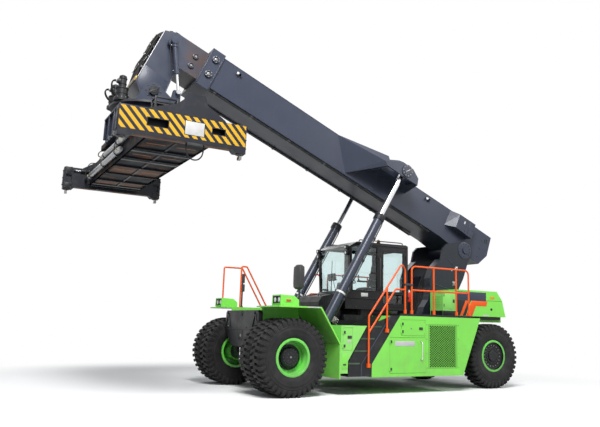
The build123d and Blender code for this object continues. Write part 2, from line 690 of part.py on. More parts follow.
with BuildPart() as lift_rod:
    round_bar(lift_plane(ROD_INNER_END), (0, 0), LIFT_ROD_DIAMETER / 2, LIFT_LENGTH - ROD_INNER_END)
    cross_bar(
        (pin_x, pin_z), LIFT_EYE_DIAMETER / 2, LIFT_Y - LIFT_EYE_WIDTH / 2, LIFT_Y + LIFT_EYE_WIDTH / 2,
    )
    cross_bar((pin_x, pin_z), LIFT_PIN_DIAMETER / 2, LIFT_Y - 130, LIFT_Y + 130)
save_pair(lift_rod.part, "lift_rod")

# ---------------------------------------------------------------- yoke with the slewing motors
head_x, head_z = boom_point(HEAD_PIVOT_S, HEAD_PIVOT_N)
YOKE_INNER_Y = INNER_HALF_WIDTH + 12 + RUN_GAP
YOKE_OUTER_Y = YOKE_INNER_Y + 50
RING_TOP_Z = ROTATOR_TOP_Z - 130
RING_BOTTOM_Z = RING_TOP_Z - 50
damper_foot = (head_x + DAMPER_FOOT_AHEAD, head_z + DAMPER_FOOT_UP)
with BuildPart() as yoke:
    round_bar(level_plane(RING_BOTTOM_Z), (SPREADER_X, 0), ROTATOR_RADIUS, RING_TOP_Z - RING_BOTTOM_Z)
    for side in (-1, 1):
        near, far = sorted((side * YOKE_INNER_Y, side * YOKE_OUTER_Y))
        side_prism(
            [
                (SPREADER_X - 620, RING_TOP_Z - 5), (SPREADER_X + 470, RING_TOP_Z - 5),
                (SPREADER_X + 400, RING_TOP_Z + 60),
                (head_x + 190, head_z + 100), (head_x, head_z + 215), (head_x - 190, head_z + 100),
                (SPREADER_X - 560, RING_TOP_Z + 120),
            ],
            near, far,
        )
        cross_bar((head_x, head_z), 215, near, far)
        cross_bar((head_x, head_z), HEAD_PIN_DIAMETER / 2 + PIN_CLEARANCE, near, far, Mode.SUBTRACT)
        # Arms out to the dampers' feet
        near, far = sorted((side * YOKE_INNER_Y, side * (DAMPER_Y - 62)))
        side_prism(
            [
                (damper_foot[0] - 80, RING_TOP_Z - 5), (damper_foot[0] + 160, RING_TOP_Z - 5),
                (damper_foot[0] + 80, damper_foot[1] + 60), (damper_foot[0] - 80, damper_foot[1] + 60),
            ],
            near, far,
        )
save(yoke.part, "yoke")

MOTOR_X = 3590.0
MOTOR_Y = 350.0
with BuildPart() as slew_motors:
    for side in (-1, 1):
        round_bar(level_plane(RING_TOP_Z), (MOTOR_X, side * MOTOR_Y), 160, 60)
        round_bar(level_plane(RING_TOP_Z), (MOTOR_X, side * MOTOR_Y), 125, 300)
        round_bar(level_plane(RING_TOP_Z), (MOTOR_X, side * MOTOR_Y), 80, 560)
save(slew_motors.part, "slew_motors")

# ---------------------------------------------------------------- tilt dampers
top_x, top_z = boom_point(DAMPER_TOP_S, DAMPER_TOP_N)
DAMPER_LENGTH = math.hypot(damper_foot[0] - top_x, damper_foot[1] - top_z)
damper_along = ((damper_foot[0] - top_x) / DAMPER_LENGTH, 0, (damper_foot[1] - top_z) / DAMPER_LENGTH)
with BuildPart() as damper_tubes:
    for side in (-1, 1):
        plane_at = [
            along_plane(
                top_x, side * DAMPER_Y, top_z, damper_along, d,
            ) for d in (40, 90, DAMPER_TUBE_LENGTH - 30)
        ]
        cross_bar((top_x, top_z), 70, side * DAMPER_Y - 45, side * DAMPER_Y + 45)
        round_bar(plane_at[0], (0, 0), DAMPER_TUBE_DIAMETER / 2, DAMPER_TUBE_LENGTH - 40)
        round_bar(plane_at[1], (0, 0), DAMPER_ROD_DIAMETER / 2 + 8, DAMPER_TUBE_LENGTH, Mode.SUBTRACT)
        round_bar(plane_at[2], (0, 0), DAMPER_ROD_DIAMETER / 2 + 9, 30)
        round_bar(
            plane_at[1], (0, 0), DAMPER_ROD_DIAMETER / 2 + PIN_CLEARANCE, DAMPER_TUBE_LENGTH,
            Mode.SUBTRACT,
        )
        cross_bar(
            (top_x, top_z), 40 + PIN_CLEARANCE, side * DAMPER_Y - 46, side * DAMPER_Y + 46,
            Mode.SUBTRACT,
        )
save(damper_tubes.part, "damper_tubes")

DAMPER_EYE_DIAMETER = 100.0
with BuildPart() as damper_rods:
    for side in (-1, 1):
        rod_plane = along_plane(top_x, side * DAMPER_Y, top_z, damper_along, DAMPER_ROD_INNER_END)
        round_bar(rod_plane, (0, 0), DAMPER_ROD_DIAMETER / 2, DAMPER_LENGTH - DAMPER_ROD_INNER_END)
        cross_bar(damper_foot, DAMPER_EYE_DIAMETER / 2, side * DAMPER_Y - 35, side * DAMPER_Y + 35)
        cross_bar(damper_foot, 32, *sorted((side * (DAMPER_Y - 60), side * (DAMPER_Y + 45))))
save(damper_rods.part, "damper_rods")

# ---------------------------------------------------------------- slewing frame and spreader
SLEW_PLATE_TOP_Z = RING_BOTTOM_Z - RUN_GAP
GUIDE_BOTTOM_Z = 5420.0
GUIDE_TOP_Z = 5760.0
MAIN_BEAM_TOP_Z = 5262.0
MAIN_BEAM_BOTTOM_Z = 4820.0
MAIN_HALF_WIDTH = 620.0
MAIN_HALF_LENGTH = 2700.0
RAIL_TOP_Z = 5600.0
with BuildPart() as slew_frame:
    round_bar(level_plane(SLEW_PLATE_TOP_Z - 120), (SPREADER_X, 0), 660, 120)
    block((SPREADER_X - 700, -750, SLEW_PLATE_TOP_Z - 260), (SPREADER_X + 700, 750, SLEW_PLATE_TOP_Z - 110))
    for side in (-1, 1):
        near, far = sorted((SPREADER_X + side * 620, SPREADER_X + side * 700))
        block((near, -750, GUIDE_BOTTOM_Z), (far, 750, SLEW_PLATE_TOP_Z - 250))
        near, far = sorted((SPREADER_X + side * 480, SPREADER_X + side * 630))
        block((near, -750, GUIDE_BOTTOM_Z), (far, 750, GUIDE_BOTTOM_Z + 60))
save(slew_frame.part, "slew_frame")

CYLINDER_X = MAIN_HALF_WIDTH + 75
STROKE_TUBE_RADIUS = 55.0
STROKE_ROD_RADIUS = 35.0
CYLINDER_Z = {1: 5130.0, -1: 4945.0}
FRONT_TUNNEL_X = 320.0
TUNNEL_HALF_WIDTH = 230.0
TUNNEL_BOTTOM_Z = 4860.0
TUNNEL_TOP_Z = 5220.0
with BuildPart() as spreader_frame:
    block(
        (SPREADER_X - MAIN_HALF_WIDTH, -MAIN_HALF_LENGTH, MAIN_BEAM_BOTTOM_Z),
        (SPREADER_X + MAIN_HALF_WIDTH, MAIN_HALF_LENGTH, MAIN_BEAM_TOP_Z),
    )
    block((SPREADER_X - 60, -2640, TUNNEL_BOTTOM_Z), (SPREADER_X + 60, 2640, TUNNEL_TOP_Z), Mode.SUBTRACT)
    for side in (-1, 1):
        middle = SPREADER_X + side * FRONT_TUNNEL_X
        block(
            (middle - TUNNEL_HALF_WIDTH, -MAIN_HALF_LENGTH - 10, TUNNEL_BOTTOM_Z),
            (middle + TUNNEL_HALF_WIDTH, MAIN_HALF_LENGTH + 10, TUNNEL_TOP_Z),
            Mode.SUBTRACT,
        )
        # Cylinder for this side's beam, held along the front wall
        near, far = sorted((side * -900, side * 2350))
        cylinder_at = (SPREADER_X + CYLINDER_X, CYLINDER_Z[side])
        cross_bar(cylinder_at, STROKE_TUBE_RADIUS, near, far)
        for clamp_y in (-600, 700, 2100):
            low_y, high_y = sorted((side * clamp_y - 30, side * clamp_y + 30))
            block(
                (SPREADER_X + MAIN_HALF_WIDTH - 5, low_y, CYLINDER_Z[side] - 40),
                (SPREADER_X + CYLINDER_X, high_y, CYLINDER_Z[side] + 40),
            )
        bore_near, bore_far = sorted((side * -870, side * 2351))
        cross_bar(cylinder_at, STROKE_ROD_RADIUS + PIN_CLEARANCE, bore_near, bore_far, Mode.SUBTRACT)
        # Side shift rails that hang in the slewing frame's guides
        near, far = sorted((SPREADER_X + side * 400, SPREADER_X + side * 460))
        block((near, -1700, MAIN_BEAM_TOP_Z - 5), (far, 1700, RAIL_TOP_Z))
        near, far = sorted((SPREADER_X + side * 400, SPREADER_X + side * 600))
        block((near, -1700, GUIDE_BOTTOM_Z + 60 + RUN_GAP), (far, 1700, RAIL_TOP_Z))
save(spreader_frame.part, "spreader_frame")

BEAM_HALF_WIDTH = TUNNEL_HALF_WIDTH - 20
BEAM_BOTTOM_Z = TUNNEL_BOTTOM_Z + RUN_GAP
BEAM_TOP_Z = TUNNEL_TOP_Z - 20
BEAM_INNER_Y = -2400.0
END_OUTER_Y = SPREADER_LENGTH / 2
END_INNER_Y = END_OUTER_Y - END_BEAM_DEPTH
END_BOTTOM_Z = SPREADER_TOP_Z - END_BEAM_HEIGHT
LOCK_HOUSING_BOTTOM_Z = END_BOTTOM_Z - 60
HUMP_THICKNESS = 45.0
WINDOW_DEPTH = 50.0
TOP = SPREADER_TOP_Z
BEAM_FACE = [
    (-1219, TOP), (1219, TOP), (1219, LOCK_HOUSING_BOTTOM_Z), (1000, LOCK_HOUSING_BOTTOM_Z),
    (940, END_BOTTOM_Z),
    (-940, END_BOTTOM_Z), (-1000, LOCK_HOUSING_BOTTOM_Z), (-1219, LOCK_HOUSING_BOTTOM_Z),
]
HUMP = [
    (765, TOP - 5), (765, TOP), (174, TOP + 205), (46, TOP + 322), (40, TOP + 405), (-20, TOP + 452),
    (-348, TOP + 452),
    (-408, TOP + 270), (-763, TOP + 40), (-800, TOP - 5),
]
# Slots in the outer face: low x, high x, low z, high z
FACE_SLOTS = ((320, 700, 4930, 5070), (-780, -530, 4970, 5080))
for side_name, side in (("left", 1), ("right", -1)):
    with BuildPart() as end_beam:
        # Both ends are the same beam, turned half way round
        near, far = sorted((side * END_INNER_Y, side * END_OUTER_Y))
        side_prism([(SPREADER_X + side * x, z) for x, z in BEAM_FACE], near, far)
        near, far = sorted((side * (END_OUTER_Y - HUMP_THICKNESS), side * END_OUTER_Y))
        side_prism([(SPREADER_X + side * x, z) for x, z in HUMP], near, far)
        middle = SPREADER_X + side * FRONT_TUNNEL_X
        near, far = sorted((side * BEAM_INNER_Y, side * (END_INNER_Y + 5)))
        block((middle - BEAM_HALF_WIDTH, near, BEAM_BOTTOM_Z), (middle + BEAM_HALF_WIDTH, far, BEAM_TOP_Z))
        # Both are plated boxes, closed at their ends
        near, far = sorted((side * (BEAM_INNER_Y + 25), side * (END_INNER_Y - 30)))
        block(
            (middle - BEAM_HALF_WIDTH + 25, near, BEAM_BOTTOM_Z + 25),
            (middle + BEAM_HALF_WIDTH - 25, far, BEAM_TOP_Z - 25),
            Mode.SUBTRACT,
        )
        near, far = sorted((side * (END_INNER_Y + 25), side * (END_OUTER_Y - 25)))
        block(
            (SPREADER_X - 960, near, END_BOTTOM_Z + 25), (SPREADER_X + 960, far, SPREADER_TOP_Z - 25),
            Mode.SUBTRACT,
        )
        near, far = sorted((side * (END_OUTER_Y - 30), side * (END_OUTER_Y + 1)))
        for low_x, high_x, low_z, high_z in FACE_SLOTS:
            slot_low, slot_high = sorted((SPREADER_X + side * low_x, SPREADER_X + side * high_x))
            block((slot_low, near, low_z), (slot_high, far, high_z), Mode.SUBTRACT)
        near, far = sorted((side * (END_INNER_Y - 1), side * (END_INNER_Y + WINDOW_DEPTH)))
        for end in (-1, 1):
            window = [SPREADER_X + end * offset for offset in (1035, 1175)]
            block((min(window), near, 4860), (max(window), far, 5040), Mode.SUBTRACT)
        # Rod of the cylinder that pushes this beam out
        near, far = sorted((side * -850, side * (END_INNER_Y + 5)))
        cross_bar((SPREADER_X + CYLINDER_X, CYLINDER_Z[side]), STROKE_ROD_RADIUS, near, far)
        for end in (-1, 1):
            lock_at = (SPREADER_X + end * LOCK_SPACING_X / 2, side * LOCK_SPACING_Y / 2)
            round_bar(
                level_plane(LOCK_HOUSING_BOTTOM_Z - 1), lock_at,
                LOCK_SHAFT_DIAMETER / 2 + PIN_CLEARANCE, 201, Mode.SUBTRACT,
            )
    save(end_beam.part, f"end_beam_{side_name}")

# Hose that hangs in a loop from the left end beam's underside
HOSE_RADIUS = 13.0
HOSE_X = 2700.0
HOSE_Y = (END_INNER_Y + END_OUTER_Y) / 2
HOSE_HALF_SPAN = 170.0
HOSE_ROUTE = [(-1.0, -0.2), (-1.0, -150), (-0.65, -268), (0, -310), (0.65, -268), (1.0, -150), (1.0, -0.2)]
hose_route = [
    (
        FRONT_AXLE_X + HOSE_X + share * HOSE_HALF_SPAN, HOSE_Y, END_BOTTOM_Z + drop,
    ) for share, drop in HOSE_ROUTE
]
hose_radii = []
for before, corner, after in zip(hose_route, hose_route[1:], hose_route[2:]):
    arriving = Vector(*corner) - Vector(*before)
    leaving = Vector(*after) - Vector(*corner)
    half_turn = math.radians(arriving.get_angle(leaving)) / 2
    hose_radii.append(0.45 * min(arriving.length, leaving.length) / math.tan(half_turn))
print("hose radii", [round(radius) for radius in hose_radii])
with BuildPart() as hose_loop:
    with BuildLine(mode=Mode.PRIVATE) as hose_path:
        FilletPolyline(*hose_route, radius=hose_radii)
    with BuildSketch(Plane(origin=hose_route[0], z_dir=(0, 0, -1)), mode=Mode.PRIVATE) as hose_section:
        Circle(HOSE_RADIUS)
    sweep(hose_section.sketch, path=hose_path.wires()[0])
print("hose length", round(hose_path.wires()[0].length))
save(hose_loop.part, "hose_loop")

LOCK_HEAD_LENGTH = 104.0
LOCK_HEAD_WIDTH = 56.0
for end_name, end in (("front", 1), ("rear", -1)):
    for side_name, side in (("left", 1), ("right", -1)):
        with BuildPart() as twistlock:
            lock_at = (SPREADER_X + end * LOCK_SPACING_X / 2, side * LOCK_SPACING_Y / 2)
            round_bar(level_plane(LOCK_HOUSING_BOTTOM_Z - 60), lock_at, LOCK_SHAFT_DIAMETER / 2, 255)
            half_long, half_wide = LOCK_HEAD_LENGTH / 2, LOCK_HEAD_WIDTH / 2
            block(
                (lock_at[0] - half_wide, lock_at[1] - half_long, LOCK_HOUSING_BOTTOM_Z - 110),
                (lock_at[0] + half_wide, lock_at[1] + half_long, LOCK_HOUSING_BOTTOM_Z - 50),
            )
        save(twistlock.part, f"twistlock_{end_name}_{side_name}")

# ---------------------------------------------------------------- counterweight
WEIGHT_SLOT_HALF_WIDTH = TOWER_Y + 60
with BuildPart() as counterweight:
    side_prism(
        [
            (-4870, WEIGHT_BOTTOM_Z), (-4870, WEIGHT_TOP_Z), (-6257, WEIGHT_TOP_Z), (-6443, 2219),
            (-6555, WEIGHT_BOTTOM_Z),
        ],
        -WEIGHT_HALF_WIDTH, WEIGHT_HALF_WIDTH,
    )
    block((-6470, -1400, WEIGHT_BOTTOM_Z - 140), (-5240, 1400, WEIGHT_BOTTOM_Z + 5))
    block(
        (-6060, -WEIGHT_SLOT_HALF_WIDTH, WEIGHT_BOTTOM_Z - 145), (-4860, WEIGHT_SLOT_HALF_WIDTH, 3000),
        Mode.SUBTRACT,
    )
save(counterweight.part, "counterweight")

# ---------------------------------------------------------------- fenders
with BuildPart() as fenders:
    for side in (-1, 1):
        near, far = sorted((side * (FRAME_HALF_WIDTH + RUN_GAP), side * BODY_HALF_WIDTH))
        side_prism(
            [
                (380, FENDER_TOP_Z), (-628, FENDER_TOP_Z), (-1128, 1090), (-1128, 362), (-1098, 362),
                (-1098, 1082), (-610, FENDER_TOP_Z - FENDER_SHEET), (380, FENDER_TOP_Z - FENDER_SHEET),
            ],
            near, far,
        )
        # Notch round the lift cylinder and its foot
        near, far = sorted((side * (FRAME_HALF_WIDTH - 10), side * (BRACKET_OUTER_Y + 20)))
        block((-1200, near, 300), (-880, far, 1500), Mode.SUBTRACT)
        # Inner wall down on the frame's side
        near, far = sorted((side * (FRAME_HALF_WIDTH + RUN_GAP), side * (FRAME_HALF_WIDTH + FENDER_SHEET)))
        side_prism(
            [
                (FRAME_FRONT_X - 10, FRAME_TOP_Z - 200), (FRAME_FRONT_X - 10, FENDER_TOP_Z - 5),
                (-620, FENDER_TOP_Z - 5), (-760, FRAME_TOP_Z - 200),
            ],
            near, far,
        )
save(fenders.part, "fenders")

# ---------------------------------------------------------------- side bodies: cabinets on both flanks
CABINET_INNER_Y = FRAME_HALF_WIDTH
CABINET_FLOOR_Z = 380.0
CABINET = [
    (-2706, DECK_Z), (-5155, DECK_Z), (-4572, CABINET_FLOOR_Z), (-1933, CABINET_FLOOR_Z), (-1933, 660),
]
GRILLE_X = (-4400.0, -3510.0)
GRILLE_Z = (540.0, 1560.0)
UPPER_DOOR_X = (-3440.0, -2740.0)
UPPER_DOOR_Z = (1290.0, 1640.0)
LOWER_DOOR_X = (-3440.0, -2420.0)
LOWER_DOOR_Z = (460.0, 1240.0)
LOCKER_INNER_Y = 1250.0
LOCKER_TOP_Z = 1485.0
LOCKER_DOOR_X = (-1420.0, -1180.0)
LOCKER_DOOR_Z = (960.0, 1430.0)


def opening(x_range, z_range, gap=0.0, mode=Mode.SUBTRACT):
    """Opening through the left flank's outer wall."""
    block(
        (x_range[0] - gap, BODY_HALF_WIDTH - SHEET - 1, z_range[0] - gap),
        (x_range[1] + gap, BODY_HALF_WIDTH + 1, z_range[1] + gap), mode,
    )


with BuildPart() as side_bodies:
    side_prism(CABINET, CABINET_INNER_Y, BODY_HALF_WIDTH)
    side_prism(
        [
            (-2720, DECK_Z - SHEET), (-5095, DECK_Z - SHEET), (-4545, CABINET_FLOOR_Z + SHEET),
            (-1933 - SHEET, CABINET_FLOOR_Z + SHEET), (-1933 - SHEET, 670),
        ],
        CABINET_INNER_Y + SHEET, BODY_HALF_WIDTH - SHEET, Mode.SUBTRACT,
    )
    for x_range, z_range, gap in (
        (GRILLE_X, GRILLE_Z, 0), (UPPER_DOOR_X, UPPER_DOOR_Z, DOOR_GAP),
        (LOWER_DOOR_X, LOWER_DOOR_Z, DOOR_GAP),
    ):
        opening(x_range, z_range, gap)
    mirror(about=Plane.XZ)
save(side_bodies.part, "side_bodies")

# Expanded metal: a plate with rows of diamonds, every other row set over by half a pitch
MESH_PLATE = 8.0
MESH_PITCH_X = 74.0
MESH_PITCH_Z = 54.0
MESH_STRAND = 16.0
MESH_BORDER = 22.0
with BuildPart() as grilles:
    mesh_width = GRILLE_X[1] - GRILLE_X[0] - 2 * MESH_BORDER
    mesh_height = GRILLE_Z[1] - GRILLE_Z[0] - 2 * MESH_BORDER
    columns = int(mesh_width // MESH_PITCH_X)
    rows = int(mesh_height // MESH_PITCH_Z)
    half_long = (MESH_PITCH_X - MESH_STRAND) / 2
    half_high = (MESH_PITCH_Z - MESH_STRAND * MESH_PITCH_Z / MESH_PITCH_X) / 2
    with BuildSketch(side_plane(BODY_HALF_WIDTH - 12)) as mesh_plate:
        with Locations(((GRILLE_X[0] + GRILLE_X[1]) / 2, (GRILLE_Z[0] + GRILLE_Z[1]) / 2)):
            Rectangle(GRILLE_X[1] - GRILLE_X[0], GRILLE_Z[1] - GRILLE_Z[0])
            for shift, across, up in ((0.0, columns, rows), (0.5, columns - 1, rows - 1)):
                with GridLocations(MESH_PITCH_X, MESH_PITCH_Z, across, up):
                    Polygon(
                        (-half_long, 0), (0, -half_high), (half_long, 0), (0, half_high),
                        align=None, mode=Mode.SUBTRACT,
                    )
    extrude(mesh_plate.sketch, amount=-MESH_PLATE)
    mirror(about=Plane.XZ)
save(grilles.part, "grilles")

HINGE_RADIUS = 14.0
HINGE_AHEAD = 12.0
HINGE_Y = BODY_HALF_WIDTH + HINGE_RADIUS + 0.3
DOORS = (
    ("upper_door", UPPER_DOOR_X, UPPER_DOOR_Z), ("lower_door", LOWER_DOOR_X, LOWER_DOOR_Z),
    ("locker_door", LOCKER_DOOR_X, LOCKER_DOOR_Z),
)
for door_name, x_range, z_range in DOORS:
    with BuildPart() as flank_door:
        block(
            (x_range[0], BODY_HALF_WIDTH - SHEET, z_range[0]),
            (x_range[1], BODY_HALF_WIDTH, z_range[1]),
        )
        # Hinge barrels, half over the door's front edge and half over the cabinet's wall
        for hinge_z in (z_range[0] + 50, z_range[1] - 130):
            round_bar(level_plane(hinge_z), (x_range[1] + HINGE_AHEAD, HINGE_Y), HINGE_RADIUS, 80)
            block(
                (x_range[1] - 60, BODY_HALF_WIDTH - 1, hinge_z + 10),
                (x_range[1], BODY_HALF_WIDTH + 6, hinge_z + 70),
            )
            block(
                (x_range[1] - 1, BODY_HALF_WIDTH + 0.3, hinge_z + 10),
                (x_range[1] + HINGE_AHEAD, BODY_HALF_WIDTH + 6, hinge_z + 70),
            )
    save_pair(flank_door.part, door_name)

with BuildPart() as battery_packs:
    for side in (-1, 1):
        near, far = sorted((side * (CABINET_INNER_Y + SHEET), side * (BODY_HALF_WIDTH - 250)))
        block((-4400, near, CABINET_FLOOR_Z + SHEET), (-2560, far, 1300))
save(battery_packs.part, "battery_packs")

# ---------------------------------------------------------------- front lockers, stairs and decks
LOCKER_FRONT_X = -1128 - RUN_GAP
with BuildPart() as front_lockers:
    side_prism(
        [
            (LOCKER_FRONT_X, LOCKER_TOP_Z), (-1793, LOCKER_TOP_Z), (-1314, 733), (-1307, 471),
            (LOCKER_FRONT_X, 471),
        ],
        LOCKER_INNER_Y, BODY_HALF_WIDTH,
    )
    side_prism(
        [
            (LOCKER_FRONT_X - 30, LOCKER_TOP_Z - 30), (-1735, LOCKER_TOP_Z - 30), (-1340, 840),
            (LOCKER_FRONT_X - 30, 840),
        ],
        LOCKER_INNER_Y + 30, BODY_HALF_WIDTH - SHEET, Mode.SUBTRACT,
    )
    opening(LOCKER_DOOR_X, LOCKER_DOOR_Z, DOOR_GAP)
    mirror(about=Plane.XZ)
save(front_lockers.part, "front_lockers")

STAIR_INNER_Y = 1250.0
STRINGER = 40.0
STEP_COUNT = 5
STEP_RISE = 265.0
STEP_DEPTH = 235.0
STEP_PLATE = 30.0
FOOT_PLATE_Z = 400.0
with BuildPart() as stairs:
    for side in (-1, 1):
        for inner in (STAIR_INNER_Y, BODY_HALF_WIDTH - STRINGER):
            near, far = sorted((side * inner, side * (inner + STRINGER)))
            side_prism(
                [
                    (-1320, FOOT_PLATE_Z), (-1932, FOOT_PLATE_Z), (-1932, 659), (-2704, 1729),
                    (-2500, 1729),
                    (-1820, LOCKER_TOP_Z), (-1345, 735), (-1320, 470),
                ],
                near, far,
            )
        near, far = sorted((side * (STAIR_INNER_Y + STRINGER - 2), side * (BODY_HALF_WIDTH - STRINGER + 2)))
        block((-1925, near, FOOT_PLATE_Z), (-1320, far, FOOT_PLATE_Z + STEP_PLATE))
        for step in range(1, STEP_COUNT):
            step_z = FOOT_PLATE_Z + STEP_PLATE + step * STEP_RISE
            step_rear = -1926 - max(step_z - STEP_PLATE - 659, 0) * (2704 - 1932) / (1729 - 659)
            block((step_rear, near, step_z - STEP_PLATE), (step_rear + STEP_DEPTH, far, step_z))
save(stairs.part, "stairs")

with BuildPart() as decks:
    for side in (-1, 1):
        near, far = sorted((side * (FRAME_HALF_WIDTH - 20), side * BODY_HALF_WIDTH))
        block((-4860, near, DECK_Z), (-2706, far, DECK_Z + DECK_THICKNESS))
save(decks.part, "decks")

with BuildPart() as rear_lockers:
    for side in (-1, 1):
        near, far = sorted((side * 1000, side * WEIGHT_HALF_WIDTH))
        block((-4850, near, DECK_Z + DECK_THICKNESS), (-4420, far, 2390))
save(rear_lockers.part, "rear_lockers")

# ---------------------------------------------------------------- handrails
RAIL_RADIUS = 21.0
RAIL_BEND = 110.0
RAIL_Y = BODY_HALF_WIDTH - STRINGER - RAIL_RADIUS - 0.3
DECK_TOP_Z = DECK_Z + DECK_THICKNESS
RAIL_TOP = 2890.0
RAIL_FOOT = 36.0
RAIL_FOOT_HEIGHT = 85.0
with BuildPart() as handrails:
    for side in (-1, 1):
        rail_y = side * RAIL_Y
        stair_rail_y = side * (BODY_HALF_WIDTH + RAIL_RADIUS + 0.3)
        bent_tube(
            [
                (-1830, stair_rail_y, 640), (-1830, stair_rail_y, 1700), (-2740, stair_rail_y, 2930),
                (-2890, rail_y, 2780), (-2890, rail_y, DECK_TOP_Z),
            ],
            RAIL_RADIUS, 90,
        )
        bent_tube(
            [(-1830, stair_rail_y, 1340), (-2560, stair_rail_y, 2330), (-2890, rail_y, 2330)],
            RAIL_RADIUS, 90,
        )
        bent_tube([(-2320, stair_rail_y, 1380), (-2320, stair_rail_y, 2360)], RAIL_RADIUS, 0)
        # Feet on the stringer's face, and on the deck
        near, far = sorted((side * (BODY_HALF_WIDTH + 0.3), side * (BODY_HALF_WIDTH + 2 * RAIL_RADIUS + 8)))
        for foot_x, foot_z in ((-1830, 590), (-2320, 1350)):
            block((foot_x - RAIL_FOOT, near, foot_z), (foot_x + RAIL_FOOT, far, foot_z + RAIL_FOOT_HEIGHT))
        for foot_x in (-2890, -3080, -3742, -4440, -4840):
            foot_at = level_plane(DECK_TOP_Z)
            round_bar(foot_at, (foot_x, rail_y), RAIL_FOOT, RAIL_FOOT_HEIGHT)
        bent_tube(
            [
                (-3080, rail_y, DECK_TOP_Z), (-3080, rail_y, RAIL_TOP), (-4840, rail_y, RAIL_TOP),
                (-4840, rail_y, DECK_TOP_Z),
            ],
            RAIL_RADIUS, RAIL_BEND,
        )
        for post_x in (-3742, -4440):
            bent_tube([(post_x, rail_y, DECK_TOP_Z), (post_x, rail_y, RAIL_TOP)], RAIL_RADIUS, 0)
        bent_tube([(-3080, rail_y, 2330), (-4840, rail_y, 2330)], RAIL_RADIUS, 0)
    # Ladder rails behind the right fender
    for rail_y, front_x, top_x, foot_x in ((-RAIL_Y, 80, -430, -1250), (-1450, -190, -340, -1160)):
        bent_tube(
            [
                (front_x, rail_y, FENDER_TOP_Z), (front_x, rail_y, RAIL_TOP + 20),
                (top_x, rail_y, RAIL_TOP + 20),
                (foot_x, rail_y, LOCKER_TOP_Z + 60), (foot_x, rail_y, LOCKER_TOP_Z),
            ],
            RAIL_RADIUS, 40,
        )
save(handrails.part, "handrails")

# ---------------------------------------------------------------- lamps and mirrors
LAMP_Y = 1700.0
LAMP_HALF_WIDTH = 210.0
LAMP_RADIUS = 62.0
with BuildPart() as headlamps:
    for bezel_y in (-LAMP_Y, LAMP_Y):
        side_prism(
            [
                (285, FENDER_TOP_Z), (300, 1905), (290, 2090), (-30, 2075), (-140, 1985),
                (-140, FENDER_TOP_Z),
            ],
            bezel_y - LAMP_HALF_WIDTH, bezel_y + LAMP_HALF_WIDTH,
        )
        block(
            (230, bezel_y - LAMP_HALF_WIDTH + 25, 1905), (310, bezel_y + LAMP_HALF_WIDTH - 25, 2065),
            Mode.SUBTRACT,
        )
        for lamp_y in (-95, 95):
            round_bar(front_plane(228), (bezel_y + lamp_y, 1985), LAMP_RADIUS, 47)
save(headlamps.part, "headlamps")

with BuildPart() as mirrors:
    for side in (-1, 1):
        bent_tube([(-300, side * 1600, FENDER_TOP_Z), (-300, side * 1600, 2300)], 20, 0)
        near, far = sorted((side * 1450, side * 1720))
        side_prism([(-320, 2260), (-250, 2260), (-230, 2700), (-300, 2740), (-340, 2700)], near, far)
save(mirrors.part, "mirrors")

# ---------------------------------------------------------------- cab
with BuildPart() as cab_rails:
    for side in (-1, 1):
        near, far = sorted((side * 560, side * 700))
        block((-4310, near, FRAME_TOP_Z), (-1960, far, 1740))
save(cab_rails.part, "cab_rails")

# Hood over the valves, ahead of the cab
with BuildPart() as valve_hood:
    side_prism(
        [
            (-1940, FRAME_TOP_Z), (-1945, 2185), (-1720, 2220), (-1420, 2150), (-1330, 2020),
            (-1330, FRAME_TOP_Z),
        ],
        -640, 640,
    )
save(valve_hood.part, "valve_hood")

